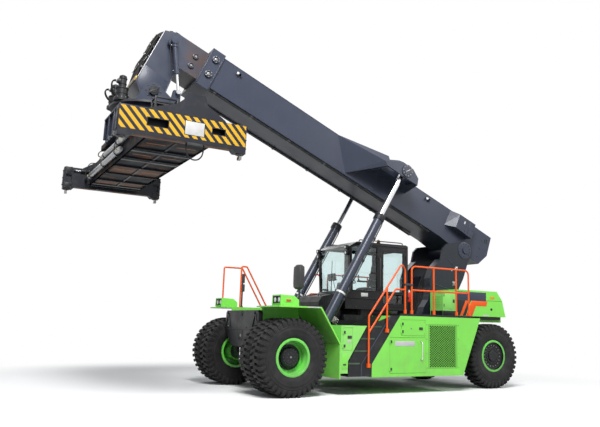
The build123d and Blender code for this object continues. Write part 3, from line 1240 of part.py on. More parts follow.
CAB_OUTLINE = [
    (CAB_REAR_X, CAB_FLOOR_Z), (CAB_REAR_X, CAB_ROOF_Z - 30), (CAB_REAR_X + 60, CAB_ROOF_Z),
    (-2300, CAB_ROOF_Z - 20),
    (CAB_FRONT_X, 3400), (CAB_FRONT_X - 60, CAB_SILL_Z), (-1990, 2180), (-1990, CAB_FLOOR_Z),
]
CAB_DOOR_X = (-3790.0, -3020.0)
CAB_DOOR_Z = (1960.0, 3400.0)
with BuildPart() as cab_shell:
    side_prism(CAB_OUTLINE, -CAB_HALF_WIDTH, CAB_HALF_WIDTH)
    side_prism(
        [
            (CAB_REAR_X + CAB_WALL, CAB_FLOOR_Z + CAB_WALL), (CAB_REAR_X + CAB_WALL, CAB_ROOF_Z - 80),
            (-2320, CAB_ROOF_Z - 90),
            (CAB_FRONT_X - 55, 3375), (CAB_FRONT_X - 110, CAB_SILL_Z), (-2040, 2160),
            (-2040, CAB_FLOOR_Z + CAB_WALL),
        ],
        -CAB_HALF_WIDTH + CAB_WALL, CAB_HALF_WIDTH - CAB_WALL, Mode.SUBTRACT,
    )
    # Side windows ahead of the post, right side window, front and rear windows
    for near, far in (
        (-CAB_HALF_WIDTH - 5, -CAB_HALF_WIDTH + CAB_WALL + 5),
        (CAB_HALF_WIDTH - CAB_WALL - 5, CAB_HALF_WIDTH + 5),
    ):
        side_prism(
            [
                (CAB_POST_X + 50, CAB_SILL_Z), (-2190, CAB_SILL_Z), (-2140, 3380), (-2300, 3420),
                (CAB_POST_X + 50, 3420),
            ],
            near, far, Mode.SUBTRACT,
        )
    block(
        (CAB_DOOR_X[0], -CAB_HALF_WIDTH - 5, CAB_SILL_Z),
        (CAB_DOOR_X[1], -CAB_HALF_WIDTH + CAB_WALL + 5, 3400), Mode.SUBTRACT,
    )
    block(
        (CAB_DOOR_X[0] - DOOR_GAP, CAB_HALF_WIDTH - CAB_WALL - 5, CAB_DOOR_Z[0] - DOOR_GAP),
        (CAB_DOOR_X[1] + DOOR_GAP, CAB_HALF_WIDTH + 5, CAB_DOOR_Z[1] + DOOR_GAP), Mode.SUBTRACT,
    )
    block((-2250, -CAB_HALF_WIDTH + 90, CAB_SILL_Z), (-1900, CAB_HALF_WIDTH - 90, 3390), Mode.SUBTRACT)
    block(
        (CAB_REAR_X - 5, -CAB_HALF_WIDTH + 120, CAB_SILL_Z),
        (CAB_REAR_X + CAB_WALL + 5, CAB_HALF_WIDTH - 120, 3400), Mode.SUBTRACT,
    )
    # Runners on the slide rails
    for side in (-1, 1):
        near, far = sorted((side * 560, side * 700))
        block((-3300, near, 1740 + RUN_GAP), (-2500, far, CAB_FLOOR_Z + 5))
save(cab_shell.part, "cab_shell")

with BuildPart() as cab_glass:
    glass_in = 18.0
    for near, far in (
        (-CAB_HALF_WIDTH + glass_in, -CAB_HALF_WIDTH + glass_in + GLASS),
        (CAB_HALF_WIDTH - glass_in - GLASS, CAB_HALF_WIDTH - glass_in),
    ):
        side_prism(
            [
                (CAB_POST_X + 50, CAB_SILL_Z), (-2190, CAB_SILL_Z), (-2140, 3380), (-2300, 3420),
                (CAB_POST_X + 50, 3420),
            ],
            near, far,
        )
    block(
        (CAB_DOOR_X[0], -CAB_HALF_WIDTH + glass_in, CAB_SILL_Z),
        (CAB_DOOR_X[1], -CAB_HALF_WIDTH + glass_in + GLASS, 3400),
    )
    side_prism(
        [
            (CAB_FRONT_X - 80, CAB_SILL_Z), (CAB_FRONT_X - 92, CAB_SILL_Z), (CAB_FRONT_X - 32, 3390),
            (CAB_FRONT_X - 20, 3390),
        ],
        -CAB_HALF_WIDTH + 90, CAB_HALF_WIDTH - 90,
    )
    block(
        (CAB_REAR_X + glass_in, -CAB_HALF_WIDTH + 120, CAB_SILL_Z),
        (CAB_REAR_X + glass_in + GLASS, CAB_HALF_WIDTH - 120, 3400),
    )
save(cab_glass.part, "cab_glass")

DOOR_FRAME = 70.0
DOOR_RAIL_Z = 2330.0
CAB_HINGE_Y = CAB_HALF_WIDTH + HINGE_RADIUS + 0.3
with BuildPart() as cab_door:
    block(
        (CAB_DOOR_X[0], CAB_HALF_WIDTH - CAB_WALL, CAB_DOOR_Z[0]),
        (CAB_DOOR_X[1], CAB_HALF_WIDTH, CAB_DOOR_Z[1]),
    )
    for low, high in (
        (CAB_DOOR_Z[0] + DOOR_FRAME, DOOR_RAIL_Z - 60), (DOOR_RAIL_Z, CAB_DOOR_Z[1] - DOOR_FRAME),
    ):
        block(
            (CAB_DOOR_X[0] + DOOR_FRAME, CAB_HALF_WIDTH - CAB_WALL - 1, low),
            (CAB_DOOR_X[1] - DOOR_FRAME, CAB_HALF_WIDTH + 1, high), Mode.SUBTRACT,
        )
    for hinge_z in (CAB_DOOR_Z[0] + 120, CAB_DOOR_Z[1] - 220):
        round_bar(level_plane(hinge_z), (CAB_DOOR_X[0] - HINGE_AHEAD, CAB_HINGE_Y), HINGE_RADIUS, 100)
        block(
            (CAB_DOOR_X[0] - HINGE_AHEAD, CAB_HALF_WIDTH + 0.3, hinge_z + 10),
            (CAB_DOOR_X[0] + 1, CAB_HALF_WIDTH + 6, hinge_z + 90),
        )
        block(
            (CAB_DOOR_X[0], CAB_HALF_WIDTH - 1, hinge_z + 10),
            (CAB_DOOR_X[0] + 50, CAB_HALF_WIDTH + 6, hinge_z + 90),
        )
save(cab_door.part, "cab_door")

with BuildPart() as cab_door_glass:
    for low, high in (
        (CAB_DOOR_Z[0] + DOOR_FRAME, DOOR_RAIL_Z - 60), (DOOR_RAIL_Z, CAB_DOOR_Z[1] - DOOR_FRAME),
    ):
        block(
            (CAB_DOOR_X[0] + DOOR_FRAME, CAB_HALF_WIDTH - 31, low),
            (CAB_DOOR_X[1] - DOOR_FRAME, CAB_HALF_WIDTH - 19, high),
        )
save(cab_door_glass.part, "cab_door_glass")

SEAT_X = -3150.0
CAB_INSIDE_Z = CAB_FLOOR_Z + CAB_WALL
with BuildPart() as seat:
    block((SEAT_X - 180, -200, CAB_INSIDE_Z), (SEAT_X + 180, 200, 2330))
    block((SEAT_X - 270, -250, 2325), (SEAT_X + 260, 250, 2450))
    side_prism(
        [(SEAT_X - 270, 2430), (SEAT_X - 130, 2430), (SEAT_X - 230, 3080), (SEAT_X - 330, 3080)], -240,
        240,
    )
    side_prism(
        [(SEAT_X - 245, 3070), (SEAT_X - 320, 3070), (SEAT_X - 345, 3270), (SEAT_X - 265, 3270)], -130,
        130,
    )
save(seat.part, "seat")

with BuildPart() as console:
    side_prism(
        [
            (-2290, CAB_INSIDE_Z), (-2170, CAB_INSIDE_Z), (-2250, 2330), (-2300, 2560), (-2480, 2620),
            (-2500, 2560), (-2400, 2460),
        ],
        -120, 120,
    )
save(console.part, "console")
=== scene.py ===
import json
import math

import bmesh
import bpy
from mathutils import Matrix, Vector


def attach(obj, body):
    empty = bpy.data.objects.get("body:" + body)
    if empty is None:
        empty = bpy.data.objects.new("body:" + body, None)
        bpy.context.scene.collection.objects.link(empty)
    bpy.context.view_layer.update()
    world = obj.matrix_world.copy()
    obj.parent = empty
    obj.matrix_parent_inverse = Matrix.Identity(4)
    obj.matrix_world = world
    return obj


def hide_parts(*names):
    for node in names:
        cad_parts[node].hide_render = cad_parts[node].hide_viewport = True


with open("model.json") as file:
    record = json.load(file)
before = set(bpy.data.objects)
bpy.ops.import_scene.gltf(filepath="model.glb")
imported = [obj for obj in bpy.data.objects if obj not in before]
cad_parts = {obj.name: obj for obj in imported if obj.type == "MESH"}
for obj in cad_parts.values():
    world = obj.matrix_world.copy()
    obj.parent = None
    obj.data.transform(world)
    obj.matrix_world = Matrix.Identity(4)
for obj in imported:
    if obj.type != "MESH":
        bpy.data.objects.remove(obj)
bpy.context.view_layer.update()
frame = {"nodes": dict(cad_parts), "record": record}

NODES = frame["nodes"]
SLOTS = {entry["node"]: entry["material_slot"] for entry in frame["record"]["subparts"]}

# Places along the machine are given ahead of the front axle, as in the part's source, in metres
FRONT_AXLE_X = 1.45302
REAR_AXLE = -6.0
AXLE_Z = 0.805
BODY_HALF_WIDTH = 2.04
BOOM_PIVOT = (-5.892, 3.588)
BOOM_ANGLE = math.radians(22.85)
SPREADER_X = 2.935

# Colours, linear
LIME = (0.225, 0.735, 0.095)
LIME_RIM = (0.16, 0.68, 0.09)
SLATE = (0.034, 0.041, 0.067)
CHASSIS_BLACK = (0.008, 0.009, 0.011)
RAIL_ORANGE = (0.86, 0.105, 0.006)
HAZARD_YELLOW = (0.62, 0.35, 0.017)

bpy.context.scene.view_settings.view_transform = "Standard"


def at(x, y, z):
    """Place in the shared frame, from one given ahead of the front axle."""
    return Vector((FRONT_AXLE_X + x, y, z))


def on_boom(s, y, n):
    """Place in the shared frame of a point s along the boom from its pivot and n square to it."""
    x = BOOM_PIVOT[0] + s * math.cos(BOOM_ANGLE) - n * math.sin(BOOM_ANGLE)
    z = BOOM_PIVOT[1] + s * math.sin(BOOM_ANGLE) + n * math.cos(BOOM_ANGLE)
    return at(x, y, z)


def on_spreader(x, y, z):
    """Place in the shared frame, from one measured from the spreader's middle line."""
    return at(SPREADER_X + x, y, z)


UP = Vector((0, 0, 1))
BOOM_TURN = Matrix.Rotation(-BOOM_ANGLE, 4, "Y")
BOOM_AHEAD = on_boom(1, 0, 0) - on_boom(0, 0, 0)
BOOM_UP = on_boom(0, 0, 1) - on_boom(0, 0, 0)


# ---------------------------------------------------------------- camera, light and floor
def place_camera():
    """Camera low at the machine's left front, with a slight roll."""
    place = Vector((7.9093, 14.5014, 1.5023))
    turn, climb, roll = 1.0439, 0.2077, 0.0248
    ahead = Vector((-math.cos(turn) * math.cos(climb), -math.sin(turn) * math.cos(climb), math.sin(climb)))
    level_right = Vector((-math.sin(turn), math.cos(turn), 0))
    level_up = level_right.cross(ahead)
    right = math.cos(roll) * level_right + math.sin(roll) * level_up
    up = -math.sin(roll) * level_right + math.cos(roll) * level_up
    camera_data = bpy.data.cameras.new("camera")
    camera_data.lens = 39.43
    camera_data.sensor_width = 36
    camera_data.shift_x = -0.0526
    camera_data.shift_y = -0.0464
    camera_data.clip_end = 200
    camera = bpy.data.objects.new("camera", camera_data)
    turned = Matrix((right, up, -ahead)).transposed().to_4x4()
    camera.matrix_world = Matrix.Translation(place) @ turned
    bpy.context.scene.collection.objects.link(camera)
    bpy.context.scene.camera = camera


def area_light(name, place, target, size, power):
    light_data = bpy.data.lights.new(name, "AREA")
    light_data.shape = "DISK"
    light_data.size = size
    light_data.energy = power
    light = bpy.data.objects.new(name, light_data)
    aim = (Vector(target) - Vector(place)).to_track_quat("-Z", "Y")
    light.matrix_world = Matrix.Translation(place) @ aim.to_matrix().to_4x4()
    bpy.context.scene.collection.objects.link(light)


def shown_rays(tree):
    """1 for the rays by which a surface or the surround is seen, straight, mirrored or through glass."""
    path = tree.nodes.new("ShaderNodeLightPath")
    shown = path.outputs["Is Camera Ray"]
    for ray in ("Is Glossy Ray", "Is Transmission Ray"):
        either = tree.nodes.new("ShaderNodeMath")
        either.operation = "MAXIMUM"
        tree.links.new(shown, either.inputs[0])
        tree.links.new(path.outputs[ray], either.inputs[1])
        shown = either.outputs[0]
    return shown


def light_scene():
    """Soft light from above and the left front, and a pale surround seen as white."""
    area_light("key_light", (7, 13, 17), (0, 0, 2.5), 9, 5300)
    area_light("fill_light", (-12, 11, 12), (0, 0, 2.5), 9, 800)
    area_light("back_light", (-6, -14, 12), (0, 0, 3), 10, 500)
    world = bpy.data.worlds.new("surround")
    world.use_nodes = True
    tree = world.node_tree
    tree.nodes.clear()
    output = tree.nodes.new("ShaderNodeOutputWorld")
    mix = tree.nodes.new("ShaderNodeMixShader")
    seen = tree.nodes.new("ShaderNodeBackground")
    lit = tree.nodes.new("ShaderNodeBackground")
    seen.inputs["Color"].default_value = (1, 1, 1, 1)
    seen.inputs["Strength"].default_value = 1.0
    lit.inputs["Color"].default_value = (0.9, 0.95, 1, 1)
    lit.inputs["Strength"].default_value = 0.29
    tree.links.new(shown_rays(tree), mix.inputs["Fac"])
    tree.links.new(lit.outputs[0], mix.inputs[1])
    tree.links.new(seen.outputs[0], mix.inputs[2])
    tree.links.new(mix.outputs[0], output.inputs["Surface"])
    bpy.context.scene.world = world


def lay_floor():
    """White floor that takes the machine's shadow, and is seen as the surround's white further off."""
    shape = bmesh.new()
    bmesh.ops.create_grid(shape, x_segments=1, y_segments=1, size=90)
    mesh = bpy.data.meshes.new("floor")
    shape.to_mesh(mesh)
    shape.free()
    floor = bpy.data.objects.new("floor", mesh)
    bpy.context.scene.collection.objects.link(floor)
    material = bpy.data.materials.new("pale_floor")
    material.use_nodes = True
    tree = material.node_tree
    surface = tree.nodes["Principled BSDF"]
    surface.inputs["Roughness"].default_value = 0.95
    surface.inputs["Specular IOR Level"].default_value = 0.0
    shown = shown_rays(tree)
    bounced_colour = tree.nodes.new("ShaderNodeMix")
    bounced_colour.data_type = "RGBA"
    bounced_colour.inputs[6].default_value = (0.4, 0.4, 0.4, 1)
    bounced_colour.inputs[7].default_value = (0.94, 0.94, 0.94, 1)
    tree.links.new(shown, bounced_colour.inputs["Factor"])
    tree.links.new(bounced_colour.outputs[2], surface.inputs["Base Color"])
    distance = tree.nodes.new("ShaderNodeVectorMath")
    distance.operation = "LENGTH"
    tree.links.new(tree.nodes.new("ShaderNodeTexCoord").outputs["Object"], distance.inputs[0])
    far_off = tree.nodes.new("ShaderNodeMapRange")
    far_off.interpolation_type = "SMOOTHSTEP"
    far_off.inputs["From Min"].default_value = 6.5
    far_off.inputs["From Max"].default_value = 11.0
    tree.links.new(distance.outputs["Value"], far_off.inputs["Value"])
    white = tree.nodes.new("ShaderNodeMath")
    white.operation = "MULTIPLY"
    tree.links.new(shown, white.inputs[0])
    tree.links.new(far_off.outputs["Result"], white.inputs[1])
    glow = tree.nodes.new("ShaderNodeEmission")
    mix = tree.nodes.new("ShaderNodeMixShader")
    tree.links.new(white.outputs[0], mix.inputs["Fac"])
    tree.links.new(surface.outputs[0], mix.inputs[1])
    tree.links.new(glow.outputs[0], mix.inputs[2])
    tree.links.new(mix.outputs[0], tree.nodes["Material Output"].inputs["Surface"])
    mesh.materials.append(material)


place_camera()
light_scene()
lay_floor()


# ---------------------------------------------------------------- hose that hangs under the left end beam
HOSE_X = 2.7
HOSE_Y = 2.925
HOSE_TOP_Z = 4.7325
HOSE_HALF_SPAN = 0.17
HOSE_RADIUS = 0.013
HOSE_ROUTE = [(-1.0, -0.0002), (-1.0, -0.15), (-0.65, -0.268), (0, -0.31), (0.65, -0.268),
    (1.0, -0.15), (1.0, -0.0002)]


def hang_hose():
    """Loop of hose, out of the beam's underside and back into it."""
    line = bpy.data.curves.new("hanging_hose", "CURVE")
    line.dimensions = "3D"
    line.bevel_depth = 1.0
    line.bevel_resolution = 6
    line.use_fill_caps = True
    line.resolution_u = 16
    spline = line.splines.new("NURBS")
    spline.points.add(len(HOSE_ROUTE) - 1)
    for point, (share, drop) in zip(spline.points, HOSE_ROUTE):
        point.co = (*at(HOSE_X + share * HOSE_HALF_SPAN, HOSE_Y, HOSE_TOP_Z + drop), 1)
        point.radius = HOSE_RADIUS
    spline.order_u = 3
    spline.use_endpoint_u = True
    hose = bpy.data.objects.new("hanging_hose", line)
    bpy.context.scene.collection.objects.link(hose)
    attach(hose, "beam_left")
    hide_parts("hose_loop")
    return hose


hanging_hose = hang_hose()


# ---------------------------------------------------------------- materials
class Finish:
    """A node-built material: the shader's own numbers, and noise that varies colour, gloss and bump."""

    def __init__(self, name, colour, roughness=0.5, metallic=0.0, coat=0.0, **sockets):
        self.material = bpy.data.materials.new(name)
        self.material.use_nodes = True
        self.tree = self.material.node_tree
        self.shader = self.tree.nodes["Principled BSDF"]
        self.shader.inputs["Base Color"].default_value = (*colour, 1)
        self.shader.inputs["Roughness"].default_value = roughness
        self.shader.inputs["Metallic"].default_value = metallic
        self.shader.inputs["Coat Weight"].default_value = coat
        for socket, value in sockets.items():
            self.shader.inputs[socket.replace("_", " ")].default_value = value
        self.colour = colour
        self.roughness = roughness
        self.coordinates = self.tree.nodes.new("ShaderNodeTexCoord").outputs["Object"]
        self.height = None

    def node(self, kind, **inputs):
        made = self.tree.nodes.new("ShaderNode" + kind)
        for key, value in inputs.items():
            made.inputs[key.replace("_", " ")].default_value = value
        return made

    def link(self, source, target):
        self.tree.links.new(source, target)

    def noise(self, scale, detail=3.0, stretch=None):
        """Noise over the piece, from about 0.3 to 0.7; stretch packs it along an axis."""
        texture = self.node("TexNoise", Scale=scale, Detail=detail)
        source = self.coordinates
        if stretch:
            mapping = self.node("Mapping", Scale=stretch)
            self.link(source, mapping.inputs["Vector"])
            source = mapping.outputs["Vector"]
        self.link(source, texture.inputs["Vector"])
        return texture.outputs["Fac"]

    def ramp(self, source, low, high, low_value, high_value):
        spread = self.node("MapRange")
        for key, value in zip(("From Min", "From Max", "To Min", "To Max"),
                (low, high, low_value, high_value)):
            spread.inputs[key].default_value = value
        self.link(source, spread.inputs["Value"])
        return spread.outputs["Result"]

    def times(self, first, second):
        made = self.tree.nodes.new("ShaderNodeMath")
        made.operation = "MULTIPLY"
        self.link(first, made.inputs[0])
        self.link(second, made.inputs[1])
        return made.outputs[0]

    def fade(self, low, high, axis="Z"):
        """1 up to the low place on an axis, and 0 from the high one."""
        parts = self.tree.nodes.new("ShaderNodeSeparateXYZ")
        self.link(self.coordinates, parts.inputs["Vector"])
        return self.ramp(parts.outputs[axis], low, high, 1.0, 0.0)

    def mix_colour(self, fac, first, second):
        blend = self.tree.nodes.new("ShaderNodeMix")
        blend.data_type = "RGBA"
        self.link(fac, blend.inputs["Factor"])
        for socket, value in ((blend.inputs[6], first), (blend.inputs[7], second)):
            if isinstance(value, tuple):
                socket.default_value = (*value, 1)
            else:
                self.link(value, socket)
        return blend.outputs[2]

    def cover(self, fac, colour):
        """Lay another colour over what is there, as much as fac says."""
        links = self.shader.inputs["Base Color"].links
        below = links[0].from_socket if links else self.colour
        self.link(self.mix_colour(fac, below, colour), self.shader.inputs["Base Color"])
        return self

    def vary_colour(self, scale, amount):
        """Cloudy variation between the colour and a darker one."""
        cloud = self.ramp(self.noise(scale), 0.3, 0.7, 1.0, 0.0)
        return self.cover(cloud, tuple(part * (1 - amount) for part in self.colour))

    def dust(self, colour, scale, low, high, amount, stretch=None):
        """Dust, rust or streaks where a noise is high."""
        return self.cover(self.ramp(self.noise(scale, 5.0, stretch), low, high, 0.0, amount), colour)

    def vary_gloss(self, scale, amount):
        cloud = self.ramp(self.noise(scale), 0.3, 0.7, self.roughness - amount, self.roughness + amount)
        self.link(cloud, self.shader.inputs["Roughness"])
        return self

    def bump(self, source, strength, distance):
        bump = self.node("Bump", Strength=strength, Distance=distance)
        self.link(source, bump.inputs["Height"])
        if self.height:
            self.link(self.height, bump.inputs["Normal"])
        self.height = bump.outputs["Normal"]
        self.link(self.height, self.shader.inputs["Normal"])
        return self


ROAD_DUST = (0.2, 0.18, 0.15)
RUST = (0.16, 0.055, 0.018)


def paint(name, colour, roughness=0.38, coat=0.1, dirt=0.08, rust=0.0):
    """Sprayed enamel: slight clouds, orange peel, rain streaks and dust that lies thicker low down."""
    finish = Finish(name, colour, roughness, 0.0, coat, Coat_Roughness=0.12, Specular_IOR_Level=0.3)
    finish.vary_colour(0.9, 0.07).vary_gloss(2.2, 0.06)
    finish.dust(ROAD_DUST, 2.6, 0.5, 0.72, dirt * 0.5, stretch=(5, 5, 0.6))
    low_dust = finish.times(finish.ramp(finish.noise(3.5, 5.0), 0.38, 0.66, 0.0, dirt * 2.2),
        finish.fade(0.4, 2.0))
    finish.cover(low_dust, ROAD_DUST)
    if rust:
        finish.dust(RUST, 4.0, 0.6, 0.7, rust)
    finish.bump(finish.noise(180, 2.0), 0.05, 0.001)
    finish.bump(finish.noise(1.7, 2.0), 0.05, 0.004)
    return finish.material


def black_steel(name, colour=CHASSIS_BLACK, roughness=0.46):
    finish = Finish(name, colour, roughness, 0.0, 0.05, Coat_Roughness=0.25, Specular_IOR_Level=0.3)
    finish.vary_colour(2.0, 0.25).vary_gloss(3.0, 0.1)
    finish.dust(ROAD_DUST, 5.0, 0.52, 0.74, 0.06)
    finish.bump(finish.noise(140, 3.0), 0.08, 0.001)
    return finish.material


def stained_slate(name):
    """Dark paint of the inner boom, with brown grease smears."""
    finish = Finish(name, SLATE, 0.36, 0.0, 0.08, Coat_Roughness=0.14, Specular_IOR_Level=0.35)
    finish.vary_colour(0.8, 0.1).vary_gloss(2.0, 0.07)
    smears = finish.ramp(finish.noise(1.6, 5.0, (0.5, 3.0, 2.2)), 0.36, 0.62, 0.15, 0.6)
    finish.cover(finish.times(smears, finish.fade(3.6, 3.8, "X")), (0.085, 0.048, 0.028))
    finish.dust(ROAD_DUST, 3.0, 0.55, 0.75, 0.06)
    finish.bump(finish.noise(150, 3.0), 0.06, 0.001)
    return finish.material


def patched_black(name):
    """Spreader's steel: black paint with orange-brown patches where it is worn through."""
    finish = Finish(name, (0.01, 0.011, 0.015), 0.6, 0.0, 0.0, Specular_IOR_Level=0.12)
    finish.vary_colour(1.5, 0.25).vary_gloss(3.0, 0.1)
    finish.dust((0.16, 0.065, 0.022), 2.3, 0.56, 0.67, 0.6)
    finish.dust(ROAD_DUST, 6.0, 0.52, 0.75, 0.07)
    finish.bump(finish.noise(120, 4.0), 0.12, 0.001)
    return finish.material


def rubber(name, colour=(0.013, 0.013, 0.014), dusty=0.14):
    finish = Finish(name, colour, 0.72, Specular_IOR_Level=0.3)
    finish.vary_colour(3.0, 0.25).vary_gloss(5.0, 0.1)
    finish.dust((0.12, 0.11, 0.1), 4.0, 0.48, 0.75, dusty)
    finish.bump(finish.noise(160, 4.0), 0.15, 0.0015)
    return finish.material


def hard_chrome(name):
    finish = Finish(name, (0.86, 0.87, 0.89), 0.16, 1.0)
    finish.vary_colour(3.0, 0.12).vary_gloss(4.0, 0.05)
    finish.bump(finish.noise(60, 3.0, stretch=(1, 1, 12)), 0.02, 0.0005)
    return finish.material


def worn_steel(name, colour=(0.33, 0.32, 0.3), roughness=0.42, metallic=0.9):
    finish = Finish(name, colour, roughness, metallic)
    finish.vary_colour(14.0, 0.35).vary_gloss(20.0, 0.1)
    finish.bump(finish.noise(120, 4.0), 0.2, 0.0008)
    return finish.material


def clear_glass(name):
    """Pale blue-green tinted pane, with a faint film on it."""
    finish = Finish(name, (0.8, 0.9, 0.9), 0.03, 0.0, 0.0, Transmission_Weight=1.0, IOR=1.45)
    finish.vary_gloss(3.0, 0.015)
    finish.bump(finish.noise(1.2, 1.0), 0.02, 0.002)
    return finish.material


def plastic(name, colour=(0.02, 0.02, 0.022), roughness=0.5, grain=0.12):
    finish = Finish(name, colour, roughness)
    finish.vary_colour(6.0, 0.15).vary_gloss(6.0, 0.05)
    finish.bump(finish.noise(260, 2.0), grain, 0.0006)
    return finish.material


def lens(name, colour):
    """Moulded lens: fluted, in a bright or coloured shade."""
    finish = Finish(name, colour, 0.12, 0.0, 0.6, IOR=1.49, Coat_Roughness=0.05)
    finish.vary_colour(9.0, 0.18).vary_gloss(12.0, 0.03)
    flutes = finish.node("TexWave", Scale=42.0)
    finish.link(finish.coordinates, flutes.inputs["Vector"])
    finish.bump(flutes.outputs["Fac"], 0.25, 0.002)
    return finish.material


def cloth(name):
    """Woven seat cover."""
    finish = Finish(name, (0.022, 0.022, 0.026), 0.88, 0.0, 0.0, Sheen_Weight=0.35, Sheen_Roughness=0.5)
    finish.vary_colour(8.0, 0.25).vary_gloss(10.0, 0.05)
    for turn in ((1, 0.02, 0.02), (0.02, 1, 1)):
        mapping = finish.node("Mapping", Scale=turn)
        finish.link(finish.coordinates, mapping.inputs["Vector"])
        weave = finish.node("TexWave", Scale=120.0, Distortion=0.6)
        finish.link(mapping.outputs["Vector"], weave.inputs["Vector"])
        finish.bump(weave.outputs["Fac"], 0.3, 0.0012)
    return finish.material


FINISHES = {
    "lime": paint("lime_paint", LIME),
    "step_green": paint("step_green", (0.018, 0.07, 0.03), 0.5, 0.1, 0.2),
    "lime_dark": paint("lime_paint_shaded", tuple(part * 0.72 for part in LIME), 0.4, 0.15),
    "lime_locker": paint("locker_lime", (0.27, 0.73, 0.15), 0.36, 0.2),
    "rim": paint("rim_paint", LIME_RIM, 0.3, 0.25, 0.16),
    "slate": paint("slate_paint", SLATE, 0.36, 0.1, 0.04),
    "slate_stained": stained_slate("stained_slate"),
    "patched": patched_black("patched_black"),
    "black": black_steel("chassis_black"),
    "brown": black_steel("brown_primer", (0.12, 0.048, 0.018), 0.6),
    # Orange-brown painted light, for the lit slots in the spreader's underside
    "slot_light": black_steel("painted_slot_light", (0.42, 0.15, 0.04), 0.6),
    "tower": paint("tower_paint", (0.013, 0.016, 0.024), 0.38, 0.08, 0.03),
    "beam_black": black_steel("beam_black", (0.009, 0.011, 0.018), 0.48),
    "cab_black": black_steel("cab_black", (0.007, 0.007, 0.009), 0.4),
    "orange": paint("rail_orange", RAIL_ORANGE, 0.34, 0.08, 0.05),
    "yellow": paint("hazard_yellow", HAZARD_YELLOW, 0.45, 0.05, 0.1, 0.12),
    "white_paint": paint("white_paint", (0.72, 0.72, 0.7), 0.35, 0.2, 0.08),
    "silver": paint("pale_grey_paint", (0.42, 0.43, 0.44), 0.3, 0.3, 0.1),
    "plate": plastic("blank_plate", (0.55, 0.55, 0.54), 0.35, 0.03),
    "weight_seam": black_steel("weight_seam", (0.03, 0.07, 0.022), 0.7),
    "vessel_red": paint("vessel_red", (0.55, 0.018, 0.012), 0.28, 0.4, 0.06),
    "chrome": hard_chrome("hard_chrome"),
    "steel": worn_steel("worn_steel"),
    "steel_dark": worn_steel("dark_steel", (0.06, 0.06, 0.062), 0.45, 0.55),
    "brass": worn_steel("brass_fitting", (0.56, 0.39, 0.14), 0.3, 0.95),
    "tyre": rubber("tyre_rubber"),
    "rubber": rubber("hose_rubber", (0.012, 0.012, 0.013), 0.12),
    "core": black_steel("radiator_core", (0.006, 0.007, 0.007), 0.6),
    "glass": clear_glass("clear_glass"),
    "mirror_glass": hard_chrome("mirror_glass"),
    "lamp_lens": lens("lamp_lens", (0.78, 0.8, 0.8)),
    "marker_red": lens("marker_red", (0.62, 0.045, 0.012)),
    "marker_amber": lens("marker_amber", (0.8, 0.22, 0.012)),
    "beacon_amber": lens("beacon_amber", (0.8, 0.27, 0.02)),
    "cloth": cloth("seat_cloth"),
    "plastic": plastic("black_plastic"),
    "screen": plastic("dark_screen", (0.008, 0.01, 0.014), 0.08, 0.01),
}
hanging_hose.data.materials.append(FINISHES["rubber"])
SLOT_FINISH = {
    "green_paint": "lime", "weight_green": "lime", "locker_green": "lime_locker", "grille_paint": "lime_dark",
    "cab_paint": "cab_black", "black_paint": "black", "motor_paint": "black", "dark_paint": "slate",
    "cylinder_paint": "slate", "damper_paint": "slate", "rail_paint": "orange", "rod_chrome": "chrome",
    "lock_steel": "steel", "rim_paint": "rim", "tyre_rubber": "tyre", "clear_glass": "glass",
    "seat_fabric": "cloth", "black_plastic": "plastic", "hose_rubber": "rubber",
}
NODE_FINISH = {
    "tower": "tower", "inner_boom": "slate_stained", "spreader_frame": "patched",
    "end_beam_left": "beam_black", "end_beam_right": "beam_black",
}


def dress(node, finish):
    """Give a CAD node its finish."""
    mesh = NODES[node].data
    mesh.materials.clear()
    mesh.materials.append(FINISHES[finish])


# ---------------------------------------------------------------- making pieces
# Faces that meet at more than this angle, in radians, have their edge rounded
SHARP_ANGLE = 0.35
# Rotations that take a section spun about Z to another axis
AXIS_TURNS = {
    "X": Matrix.Rotation(math.pi / 2, 4, "Y"),
    "Y": Matrix.Rotation(-math.pi / 2, 4, "X"),
    "Z": Matrix.Identity(4),
}


